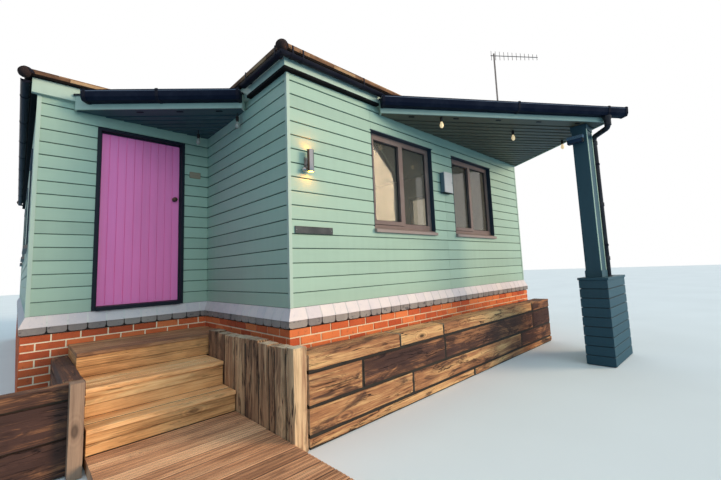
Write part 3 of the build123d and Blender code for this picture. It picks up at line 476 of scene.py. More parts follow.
# Near-black behind the notches of the cap noses, which is painted shade in those hollows.
PIT_SHADE = Stone("pit_shade", (0.012, 0.01, 0.012), (0.025, 0.02, 0.02), (0.05, 0.04, 0.035), (0.1, 0.08, 0.06), 0.2)
TILE = Stone("roof_tile", (0.095, 0.045, 0.027), (0.27, 0.135, 0.07), (0.52, 0.32, 0.17),
             (0.40, 0.22, 0.11), 0.3, 0.0018, fine=140.0)
CAP_TILE = Stone("cap_tile", (0.012, 0.011, 0.017), (0.032, 0.020, 0.019), (0.15, 0.072, 0.04),
                 (0.22, 0.11, 0.065), 0.25, 0.0018, fine=140.0, shine=0.1)
# Near-black of the roof deck under the tile edge, which is painted shade.
ROOF_DECK_SHADE = Stone("roof_deck_painted_shade", (0.006, 0.004, 0.003), (0.014, 0.009, 0.008), (0.03, 0.02, 0.015), (0.06, 0.04, 0.03),
                  0.3, 0.0018, shine=0.1)
FELT = Stone("felt", (0.02, 0.022, 0.026), (0.04, 0.042, 0.047), (0.075, 0.075, 0.08), (0.12, 0.12, 0.12),
             0.35, 0.0015, fine=160.0)
SLEEPER = Timber("sleeper_wood", (0.074, 0.034, 0.025), (0.40, 0.168, 0.072), (0.74, 0.42, 0.185),
                 1.0, 0.85, 0.010, 0.85, 0.85, 1.85)
UPRIGHT = Timber("upright_wood", (0.09, 0.042, 0.027), (0.42, 0.225, 0.122), (0.78, 0.51, 0.29),
                 1.0, 0.6, 0.012, 0.85, 0.55, 1.9, 0.040)
UPRIGHT_END = Timber("upright_end", (0.16, 0.11, 0.075), (0.50, 0.37, 0.25), (0.74, 0.60, 0.43),
                     0.8, 0.2, 0.008, 0.9, 0.4, 1.4)
POST_WOOD = Timber("bed_post_wood", (0.18, 0.10, 0.065), (0.40, 0.25, 0.165), (0.56, 0.38, 0.26),
                   0.25, 0.7, 0.002, 0.7, 0.0, 0.8)
STEP_WOOD = Timber("step_wood", (0.30, 0.120, 0.038), (0.76, 0.37, 0.145), (0.93, 0.60, 0.29),
                   0.7, 0.6, 0.004, 0.6, 0.3, 1.7)
# A paler copy of the step wood for the sunlit treads of the two steps, which is painted light.
TREAD_LIT_WOOD = Timber("tread_wood_painted_light", (0.54, 0.200, 0.065), (1.0, 0.51, 0.215), (1.0, 0.70, 0.38),
                    0.6, 0.6, 0.004, 0.6, 0.25, 1.5)
# A darker copy of the step wood for the landing under the porch, which is painted shade.
LANDING_SHADE_WOOD = Timber("landing_wood_painted_shade", (0.12, 0.050, 0.024), (0.36, 0.165, 0.078), (0.58, 0.32, 0.16),
                      0.7, 0.6, 0.004, 0.6, 0.4, 1.7)
DECK_WOOD = Timber("deck_wood", (0.26, 0.106, 0.050), (0.71, 0.335, 0.172), (0.95, 0.55, 0.31),
                   0.4, 0.3, 0.003, 0.6, 0.2, 1.6)
FLOOR_WOOD = Timber("floor_wood", (0.20, 0.12, 0.06), (0.36, 0.235, 0.13), (0.50, 0.36, 0.22), 0.15, 0.4, 0.0008, 0.4)
SHADOW_WOOD = Timber("shadow_wood", (0.012, 0.009, 0.007), (0.03, 0.022, 0.016), (0.06, 0.045, 0.03))


def added(name: str, data: bpy.types.ID) -> bpy.types.Object:
    """A new object in the scene."""
    item = bpy.data.objects.new(name, data)
    bpy.context.scene.collection.objects.link(item)
    return item


def clipped(plan: list[Vector], point: Vector, outward: Vector) -> list[Vector]:
    """The part of a convex outline that lies behind a line.

    Args:
        plan: its corners in order.
        point: a point on the line.
        outward: the side that is cut off.

    Returns:
        The corners that are left, none where nothing is.
    """
    kept = []
    for i, b in enumerate(plan):
        a = plan[i - 1]
        da, db = (a - point).dot(outward), (b - point).dot(outward)
        if da * db < 0:
            kept.append(a + (b - a) * (da / (da - db)))
        if db <= 0:
            kept.append(b)
    return kept


def square(axis: int, side: int, u: int = 0, v: int = 0) -> list[tuple[int, ...]]:
    """One square of a grid that faces along an axis.

    Args:
        axis: number of the axis.
        side: the square's place along it.
        u: its place along the next axis.
        v: its place along the third one.

    Returns:
        The grid places of its corners, in order.
    """
    b, c = (axis + 1) % 3, (axis + 2) % 3
    return [tuple({axis: side, b: u + i, c: v + j}[k] for k in range(3)) for i, j in ((0, 0), (1, 0), (1, 1), (0, 1))]


class Shape:
    """The faces of one piece, with a tone and a run of grain for each part of it."""

    def __init__(self, name: str) -> None:
        """Start an empty piece; its name seeds its random draws."""
        self.name = name
        self.luck = Random(name)
        self.points: list[Vector] = []
        self.faces: list[list[int]] = []
        self.marks: list[int] = []
        self.tones: list[float] = []
        self.grain: list[float] = []

    def solid(self, points: list[Vector], faces: list[list[int]], mark: int | list[int] = 0,
              along: Vector = EAST, tone: float | None = None) -> None:
        """Add one solid.

        Args:
            points: its corners.
            faces: corner numbers of each face.
            mark: number of its finish, or one for each face.
            along: direction of its grain.
            tone: its shade, or none for a random one.
        """
        base = len(self.points)
        along = along.normalized()
        across = along.orthogonal().normalized()
        third = along.cross(across)
        shift = [self.luck.uniform(-GRAIN_DRIFT, GRAIN_DRIFT) for i in range(3)]
        self.points += points
        self.faces += [[base + i for i in face] for face in faces]
        self.marks += mark if isinstance(mark, list) else [mark] * len(faces)
        self.tones += [self.luck.random() if tone is None else tone] * len(points)
        for p in points:
            self.grain += [p.dot(along) + shift[0], p.dot(across) + shift[1], p.dot(third) + shift[2]]

    def loft(self, rings: list[list[Vector]], place: Matrix = Matrix(), closed: bool = False, **look: Look) -> None:
        """Join rings of points into one solid.

        Args:
            rings: the rings, each with as many points as the next or one.
            place: where the solid goes.
            closed: join the last ring to the first instead of capping both.
            look: its mark, along and tone.
        """
        starts, points, faces = [], [], []
        for ring in rings:
            starts.append(len(points))
            points += [place @ Vector(p) for p in ring]
        for i in range(len(rings) if closed else len(rings) - 1):
            j = (i + 1) % len(rings)
            na, nb = len(rings[i]), len(rings[j])
            for k in range(max(na, nb)):
                a, a2 = starts[i] + k % na, starts[i] + (k + 1) % na
                b, b2 = starts[j] + k % nb, starts[j] + (k + 1) % nb
                faces.append(list(dict.fromkeys((a, a2, b2, b))))
        if not closed:
            faces += [[starts[i] + k for k in range(len(rings[i]))] for i in (0, -1) if len(rings[i]) > 2]
        self.solid(points, faces, **look)

    def block(self, low: Point, high: Point, chamfer: float = 0.0, place: Matrix = Matrix(), **look: Look) -> None:
        """A box with all its edges chamfered.

        Args:
            low: lowest corner.
            high: highest corner.
            chamfer: width of the chamfers.
            place: where it goes.
            look: its mark, along and tone.
        """
        ends = list(zip(low, high))
        signs = list(product((0, 1), repeat=3))
        if not chamfer:
            points = [place @ Vector([ends[i][s[i]] for i in range(3)]) for s in signs]
            faces = [[0, 1, 3, 2], [4, 6, 7, 5], [0, 4, 5, 1], [2, 3, 7, 6], [0, 2, 6, 4], [1, 5, 7, 3]]
            self.solid(points, faces, **look)
            return
        points, number = [], {}
        for s in signs:
            for axis in range(3):
                number[s, axis] = len(points)
                inset = [0 if i == axis else chamfer * (1 - 2 * s[i]) for i in range(3)]
                points.append(place @ Vector([ends[i][s[i]] + inset[i] for i in range(3)]))
        faces = [[number[s, axis] for axis in range(3)] for s in signs]
        for axis in range(3):
            b, c = (axis + 1) % 3, (axis + 2) % 3
            faces += [[number[s, axis] for s in square(axis, side)] for side in (0, 1)]
            for u, v in product((0, 1), repeat=2):
                near, far = (tuple({axis: e, b: u, c: v}[i] for i in range(3)) for e in (0, 1))
                faces.append([number[near, b], number[far, b], number[far, c], number[near, c]])
        self.solid(points, faces, **look)

    def bar(self, profile: list[Span], x: Span, place: Matrix = Matrix(), mitre: Span = (0, 0), **look: Look) -> None:
        """A length of one (y, z) profile along local X, with the grain along it.

        Args:
            profile: the section.
            x: where it starts and ends at y = 0.
            place: where it goes.
            mitre: how far each end leans out for each metre of y.
            look: its mark and tone.
        """
        rings = [[Vector((end + lean * y, y, z)) for y, z in profile] for end, lean in zip(x, (-mitre[0], mitre[1]))]
        self.loft(rings, place, along=place.to_3x3() @ EAST, **look)

    def run(self, profile: list[Span], side: "Side", **look: Look) -> None:
        """One profile along the whole of a side, mitred where the outline bends."""
        self.bar(profile, (0, side.length), side.place(), side.bends, **look)

    def turned(self, profile: list[Span], foot: Vector, axis: Vector = UP, count: int = 16,
               mark: int = 0, tone: float | None = 0.5) -> None:
        """A turned piece.

        Args:
            profile: its radius at each height; radius 0 gives one point.
            foot: where height 0 is.
            axis: the direction of height.
            count: points round it.
            mark: number of its finish.
            tone: its shade.
        """
        a = axis.orthogonal().normalized()
        b = axis.cross(a).normalized()
        ring = [a * cos(t) + b * sin(t) for t in (2 * pi * i / count for i in range(count))]
        rings = [[foot + axis * h + p * r for p in (ring if r > 0 else [Vector()])] for r, h in profile]
        self.loft(rings, mark=mark, along=axis, tone=tone)

    def slab(self, plan: list[Vector], z: Span, **look: Look) -> None:
        """An upright prism over a plan, where the plan isn't empty."""
        if len(plan) > 2:
            self.loft([[Vector((p.x, p.y, h)) for p in plan] for h in z], **look)

    def rough(self, low: Point, high: Point, along: Vector, wear: float = 0.012, cell: float = 0.04,
              ends: int = 0, tone: float | None = None) -> None:
        """A weathered timber: a box with worn edges and a hollowed, uneven face.

        Args:
            low: lowest corner.
            high: highest corner.
            along: direction of its grain.
            wear: deepest wear of a face.
            cell: size of its facets.
            ends: number of the finish of its sawn ends.
            tone: its shade.
        """
        size = [b - a for a, b in zip(low, high)]
        parts = [max(3, round(length / cell)) for length in size]
        seed = Vector([self.luck.uniform(-50, 50) for i in range(3)])
        number: dict[tuple[int, ...], int] = {}
        points, faces, marks = [], [], []

        def corner(key: tuple[int, ...]) -> int:
            """The number of the point at a place of the grid, made when first asked for."""
            if key in number:
                return number[key]
            p = Vector([low[i] + size[i] * key[i] / parts[i] for i in range(3)])
            q = Vector([p[i] * (WEAR_ALONG if along[i] else WEAR_ACROSS) for i in range(3)]) + seed
            hollow = wear * (0.35 + 0.65 * min(1.0, abs(noise.fractal(q, 0.8, 2.0, 4))))
            lost = (noise.noise(q * 0.9) + 1) * wear * 0.4 + wear * 0.1
            sides = [i for i in range(3) if key[i] in (0, parts[i])]
            for i in sides:
                inward = 1 if key[i] == 0 else -1
                p[i] += inward * (hollow + (lost if len(sides) > 1 else 0))
            number[key] = len(points)
            points.append(p)
            return number[key]

        for axis in range(3):
            b, c = (axis + 1) % 3, (axis + 2) % 3
            for side, u, v in product((0, parts[axis]), range(parts[b]), range(parts[c])):
                faces.append([corner(key) for key in square(axis, side, u, v)])
                marks.append(ends if along[axis] else 0)
        self.solid(points, faces, marks, along, tone)

    def build(self, finishes: list[Finish], slot: str, replaces: tuple[str, ...] = (), body: str = LODGE,
              smooth: float | None = None) -> None:
        """Turn the faces into a piece that rides on a body.

        Args:
            finishes: its finishes, by mark.
            slot: the record's slot that it belongs to; not used.
            replaces: CAD nodes that it stands for.
            body: the body that carries it.
            smooth: edges flatter than this many degrees are shaded smooth.
        """
        mesh = bpy.data.meshes.new(self.name)
        mesh.from_pydata(self.points, [], self.faces)
        mesh.polygons.foreach_set("material_index", self.marks)
        mesh.attributes.new("tone", "FLOAT", "POINT").data.foreach_set("value", self.tones)
        mesh.attributes.new("grain", "FLOAT_VECTOR", "POINT").data.foreach_set("vector", self.grain)
        work = bmesh.new()
        work.from_mesh(mesh)
        bmesh.ops.recalc_face_normals(work, faces=work.faces)
        work.to_mesh(mesh)
        work.free()
        if smooth is not None:
            mesh.polygons.foreach_set("use_smooth", [True] * len(mesh.polygons))
            mesh.set_sharp_from_angle(angle=radians(smooth))
        item = added(self.name, mesh)
        for finish in finishes:
            mesh.materials.append(finish.material())
        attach(item, body)
        if replaces:
            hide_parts(*replaces)
        LOG.info("%s: %d faces", self.name, len(mesh.polygons))


def keep(node: str, finish: Finish, grain: Grain = Grain.X, bevel: float = 0.003) -> None:
    """Dress a carried-over CAD node: its finish and softened edges.

    Args:
        node: the node's name.
        finish: its finish.
        grain: which way the grain runs.
        bevel: width of the softened edges.
    """
    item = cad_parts[node]
    for slot in item.material_slots:
        slot.material = finish.material(grain)
    weld = item.modifiers.new("weld", "WELD")
    weld.merge_threshold = 0.00005
    edge = item.modifiers.new("soft_edges", "BEVEL")
    edge.width, edge.segments, edge.limit_method = bevel, 2, "ANGLE"
    LOG.info("%s: kept, %s", node, finish.name)


@dataclass(frozen=True)
class Side:
    """One straight side of an outline, seen from outside."""

    start: Vector
    along: Vector
    out: Vector
    length: float
    bends: tuple[int, int]

    def place(self) -> Matrix:
        """From (distance along, distance out, height) to the lodge."""
        matrix = Matrix((self.along, self.out, UP)).transposed().to_4x4()
        matrix.translation = self.start
        return matrix

    def reach(self, out: float) -> Span:
        """Where the side starts and ends at a distance out."""
        return -self.bends[0] * out, self.length + self.bends[1] * out


def outline_sides(corners: list[Span], closed: bool = True) -> list[Side]:
    """The sides of a plan outline whose outside is on the right of travel.

    Args:
        corners: the corners in order.
        closed: whether the last corner joins the first.

    Returns:
        The sides.
    """
    points = [Vector((*corner, 0)) for corner in corners]
    count = len(points) if closed else len(points) - 1
    ways = [(points[(i + 1) % len(points)] - points[i]).normalized() for i in range(count)]
    turns = [(0 if not closed and i == 0 else (1 if ways[i - 1].cross(ways[i]).z > 0 else -1)) for i in range(count)]
    sides = []
    for i, way in enumerate(ways):
        a, b = points[i], points[(i + 1) % len(points)]
        last = turns[(i + 1) % count] if closed or i < count - 1 else 0
        sides.append(Side(a, way, Vector((way.y, -way.x, 0)), (b - a).length, (turns[i], last)))
    return sides


@dataclass(frozen=True)
class Body:
    """The outline of the lodge and where its windows stand."""

    bay_width: float = 4.81
    bay_depth: float = 1.97
    porch_width: float = 1.65
    length: float = 9.75
    wall: float = 0.15
    plinth_top: float = 1.0
    window_wide: float = 1.136
    opening: Span = (1.717, 2.895)
    sill_tall: float = 0.066
    setback: float = 0.058
    soffit: float = 3.110
    door: Span = (0.49, 1.37)
    door_head: float = 2.99

    def sides(self) -> list[Side]:
        """The six sides: garden front, right, rear, left, door wall and bay side."""
        return outline_sides([
            (0, 0), (self.bay_width, 0), (self.bay_width, self.length), (-self.porch_width, self.length),
            (-self.porch_width, self.bay_depth), (0, self.bay_depth)])

    def windows(self) -> list[list[float]]:
        """Distances of the window centres along each side."""
        right = [self.length * share for share in (0.195, 0.472, 0.749)]
        left = [self.length * (1 - share) for share in (0.359, 0.615, 0.862)]
        return [[1.65, 3.269], right, [self.bay_width - 0.15, self.bay_width - 3.0], left, [], []]

    def holes(self, side: int) -> list[Hole]:
        """Openings of one side as left, right, foot and head."""
        half = self.window_wide / 2
        holes = [(s - half, s + half, *self.opening) for s in self.windows()[side]]
        return holes + ([(*self.door, self.plinth_top, self.door_head)] if side == 4 else [])


BODY = Body()
# Front edges of the two canopies in plan: where they leave the bay, and which way they run.
PATIO_NEAR, PATIO_WAY = (1.19, -0.068), (cos(radians(33.6)), -sin(radians(33.6)))
PORCH_NEAR, PORCH_WAY = (-0.068, 0.79), (-cos(radians(40.7)), sin(radians(40.7)))
CANOPY_INSET = 0.0203


@dataclass(frozen=True)
class Cladding:
    """Walls: a core with its openings, and the painted boards on its outer face."""

    first: float = 1.002
    pitch: float = 0.133
    top: float = 3.35
    courses: int = 17
    back: float = 0.0115
    joint: float = 0.0015
    lining: float = 0.006
    lining_proud: float = 0.004
    least: float = 0.004
    clear: float = 0.002

    def core(self, shape: Shape, side: Side, x: Span, holes: list[Hole]) -> None:
        """A wall slab behind the boards, on a grid that leaves the openings out; its outer faces carry dark paint as
        painted shade in the board joints.

        Args:
            shape: what it is added to.
            side: the side it stands on.
            x: where it starts and ends.
            holes: its openings.
        """
        xs = sorted({*x, *[h[0] for h in holes], *[h[1] for h in holes]})
        zs = sorted({BODY.plinth_top, self.top, *[h[2] for h in holes], *[h[3] for h in holes]})
        full = {(i, j) for i in range(len(xs) - 1) for j in range(len(zs) - 1) if not any(
            h[0] < (xs[i] + xs[i + 1]) / 2 < h[1] and h[2] < (zs[j] + zs[j + 1]) / 2 < h[3] for h in holes)}
        place = side.place()
        points = [place @ Vector((a, y, z)) for y in (-self.back, -BODY.wall) for a in xs for z in zs]
        half = len(xs) * len(zs)
        faces, marks = [], []
        for i, j in full:
            loop = [(i, j), (i + 1, j), (i + 1, j + 1), (i, j + 1)]
            flat = [a * len(zs) + b for a, b in loop]
            faces += [flat, [half + n for n in flat]]
            # Outer faces take the dark joint paint, which is painted shade; inner faces take the lining paint.
            marks += [1, 0]
            for k, (di, dj) in enumerate(((0, -1), (1, 0), (0, 1), (-1, 0))):
                if (i + di, j + dj) not in full:
                    a, b = flat[k], flat[(k + 1) % 4]
                    faces.append([a, b, half + b, half + a])
                    marks.append(1)
        shape.solid(points, faces, marks, side.along, 0.5)

    def boards(self, shape: Shape, side: Side, holes: list[Hole], splits: list[Split]) -> None:
        """Courses of boards over one side.

        Args:
            shape: what they are added to.
            side: the side.
            holes: its openings.
            splits: butt joints as distance along, foot and head.
        """
        start, end = self.clear, side.length - (self.clear if side.bends[1] > 0 else 0)
        face = ((0, 0.001), (0, 0.1130), (-0.0018, 0.1185), (-0.0056, 0.1230), (-0.0100, 0.1258),
                (-self.back, 0.1258), (-self.back, 0.001))
        for n in range(self.courses):
            foot = self.first + n * self.pitch
            head = foot + self.pitch
            section = [Vector((out, foot + z, 0)) for out, z in face]
            met = [h for h in holes if h[2] < head and h[3] > foot]
            cuts = sorted({start, end, *[h[0] for h in met], *[h[1] for h in met],
                           *[s for s, low, high in splits if low < foot + 0.06 < high]})
            for a, b in zip(cuts, cuts[1:]):
                over = [h for h in met if h[0] < (a + b) / 2 < h[1]]
                ranges = [(foot, over[0][2]), (over[0][3], head)] if over else [(foot, head)]
                inset = [self.joint if any(abs(end - s[0]) < 1e-6 for s in splits) else 0 for end in (a, b)]
                for low, high in ranges:
                    cut = clipped(clipped(section, NORTH * low, -NORTH), NORTH * high, NORTH)
                    if high - low > self.least and len(cut) > 2:
                        shape.bar([(p.x, p.y) for p in cut], (a + inset[0], b - inset[1]), side.place())

    def linings(self, shape: Shape, side: Side, holes: list[Hole]) -> None:
        """Linings of the window openings, from the boards back to the frames, in a near-black that is painted shade in
        the recess and under the head.

        Args:
            shape: what they are added to.
            side: the side.
            holes: its openings.
        """
        thick, proud, place = self.lining, self.lining_proud, side.place()
        for left, right, foot, head in holes:
            if foot < BODY.opening[0]:
                continue
            for x in (left, right - thick):
                shape.block((x, -BODY.setback, foot + BODY.sill_tall), (x + thick, proud, head), 0.001, place,
                            along=UP)
            shape.block((left - 0.012, -BODY.setback, head - thick), (right + 0.012, proud + 0.010, head + 0.004),
                        0.0015, place)

    def build(self) -> None:
        """All walls, their boards and the linings."""
        edge, wall = self.back, BODY.wall
        core, boards, linings = Shape("wall_cores"), Shape("cladding_boards"), Shape("window_linings")
        sides = BODY.sides()
        lengths = [side.length for side in sides]
        ranges = [(edge, lengths[0] - edge), (wall, lengths[1] - wall), (edge, lengths[2] - edge),
                  (wall, lengths[3] - wall), (edge, lengths[4] + wall), (0.0, lengths[5] - wall)]
        splits = [[(2.49, 1.0, 2.29), (1.08, 2.89, 3.4)], [(3.6, 1.0, 1.7), (6.1, 2.9, 3.4)],
                  [(3.3, 1.0, 1.7)], [(4.2, 1.0, 1.7)], [], []]
        for i, side in enumerate(sides):
            holes = BODY.holes(i)
            self.core(core, side, ranges[i], holes)
            self.boards(boards, side, holes, splits[i])
            self.linings(linings, side, holes)
        core.build([INNER_PAINT, JOINT_SHADE_PAINT], "cladding", (
            "front_wall", "right_wall", "rear_wall", "left_wall", "bay_side_wall", "door_wall_left",
            "door_wall_right", "door_wall_head"))
        boards.build([BOARD_PAINT], "cladding")
        linings.build([REVEAL_SHADE_PAINT], "window_frame")


@dataclass(frozen=True)
class Plinth:
    """Brick courses in mortar under a sloped cap of header bricks."""

    out: float = 0.030
    back: float = -0.185
    sunk: float = 0.006
    top: float = 0.82
    long: float = 0.225
    tall: float = 0.075
    joint: float = 0.012
    courses: int = 11
    chamfer: float = 0.003
    shortest: float = 0.02
    header: float = 0.156
    cap_out: float = 0.046
    cap_top: float = 0.9995
    slope_foot: float = 0.894
    band_foot: float = 0.83
    notch: float = 0.025

    def row(self, side: Side, out: float, pitch: float, shift: float) -> list[tuple[float, float, bool, bool]]:
        """Bricks of one row: start and end at the face, and whether each end is mitred.

        Args:
            side: the side.
            out: how far out the face is.
            pitch: length of a brick with its joint.
            shift: how far the bond is moved along.

        Returns:
            One tuple a brick.
        """
        low, high = side.reach(out)
        row = []
        start = low - shift
        while start < high - self.shortest:
            a, b = max(start, low), min(start + pitch - self.joint, high)
            if b - a > self.shortest:
                row.append((a, b, a == low and side.bends[0] > 0, b == high and side.bends[1] > 0))
            start += pitch
        return row

    def bricks(self, side: Side, shape: Shape) -> None:
        """Stretcher courses on one side."""
        place = side.place()
        for n in range(self.courses):
            head = self.top - n * self.tall
            foot = head - self.tall + self.joint
            for a, b, first, last in self.row(side, self.out, self.long, (n % 2) * self.long / 2):
                c = self.chamfer
                rings = []
                for y, inset in ((self.out - 0.016, 0), (self.out - c, 0), (self.out, c)):
                    x0 = a + first * (self.out - y) + (0 if first else inset)
                    x1 = b - last * (self.out - y) - (0 if last else inset)
                    rings.append([(x0, y, foot + inset), (x1, y, foot + inset), (x1, y, head - inset),
                                  (x0, y, head - inset)])
                shape.loft(rings, place)

    def caps(self, side: Side, shape: Shape) -> None:
        """Sloped headers and their upright noses on one side; the noses' notches show the near-black band behind them,
        which is painted shade.
        """
        place = side.place()
        front, foot, head = self.cap_out, self.band_foot, self.slope_foot
        slope = [(0.001, self.cap_top), (front, head + 0.001), (front - 0.012, head - 0.006),
                 (-0.02, head - 0.006), (-0.02, self.cap_top)]
        for a, b, first, last in self.row(side, 0.0, self.header, 0.0):
            tone = 0.3 + 0.45 * shape.luck.random()
            sunk = shape.luck.uniform(0, 0.0012)
            moved = [(y - sunk if y > 0 else y, z) for y, z in slope]
            shape.bar(moved, (a + 0.003, b + 0.003), place, (first, last), tone=tone)
            rings = []
            for y in (0.0, front - 0.006, front - 0.002 - sunk):
                inset = 0.002 if y > front - 0.005 else 0.0
                x0, x1 = a - first * y + inset - 0.001, b + last * y - inset + 0.004
                r = self.notch
                rings.append([(x0, y, head - 0.003), (x0, y, foot + r), (x0 + r * 0.3, y, foot + r * 0.3),
                              (x0 + r, y, foot + inset), (x1 - r, y, foot + inset),
                              (x1 - r * 0.3, y, foot + r * 0.3), (x1, y, foot + r), (x1, y, head - 0.003)])
            shape.loft(rings, place, mark=1, tone=tone)

    def build(self) -> None:
        """Mortar core, bricks and cap on all six sides."""
        core, bricks, caps = Shape("brick_mortar"), Shape("plinth_bricks"), Shape("cap_bricks")
        mortar = self.out - self.sunk
        section = [(mortar, 0), (mortar, self.top), (self.back, self.top), (self.back, 0)]
        bed = [(0, 0.9975), (self.cap_out - 0.0035, self.slope_foot + 0.0015), (-0.02, self.slope_foot),
               (-0.149, self.slope_foot), (-0.149, self.cap_top), (0, self.cap_top)]
        # A near-black band behind the nose notches, which is painted shade.
        pit_shade = [(0.012, self.slope_foot - 0.001), (0.012, self.top + 0.001), (-0.149, self.top + 0.001),
               (-0.149, self.slope_foot - 0.001)]
        for side in BODY.sides():
            for mark, profile in enumerate((section, bed, pit_shade)):
                core.run(profile, side, mark=mark)
            self.bricks(side, bricks)
            self.caps(side, caps)
        core.build([MORTAR, CAP_JOINT, PIT_SHADE], "brick", ("brick_plinth",))
        bricks.build([BRICK], "brick")
        caps.build([CAP_FACE, CAP_NOSE], "cap_brick", ("plinth_cap",))


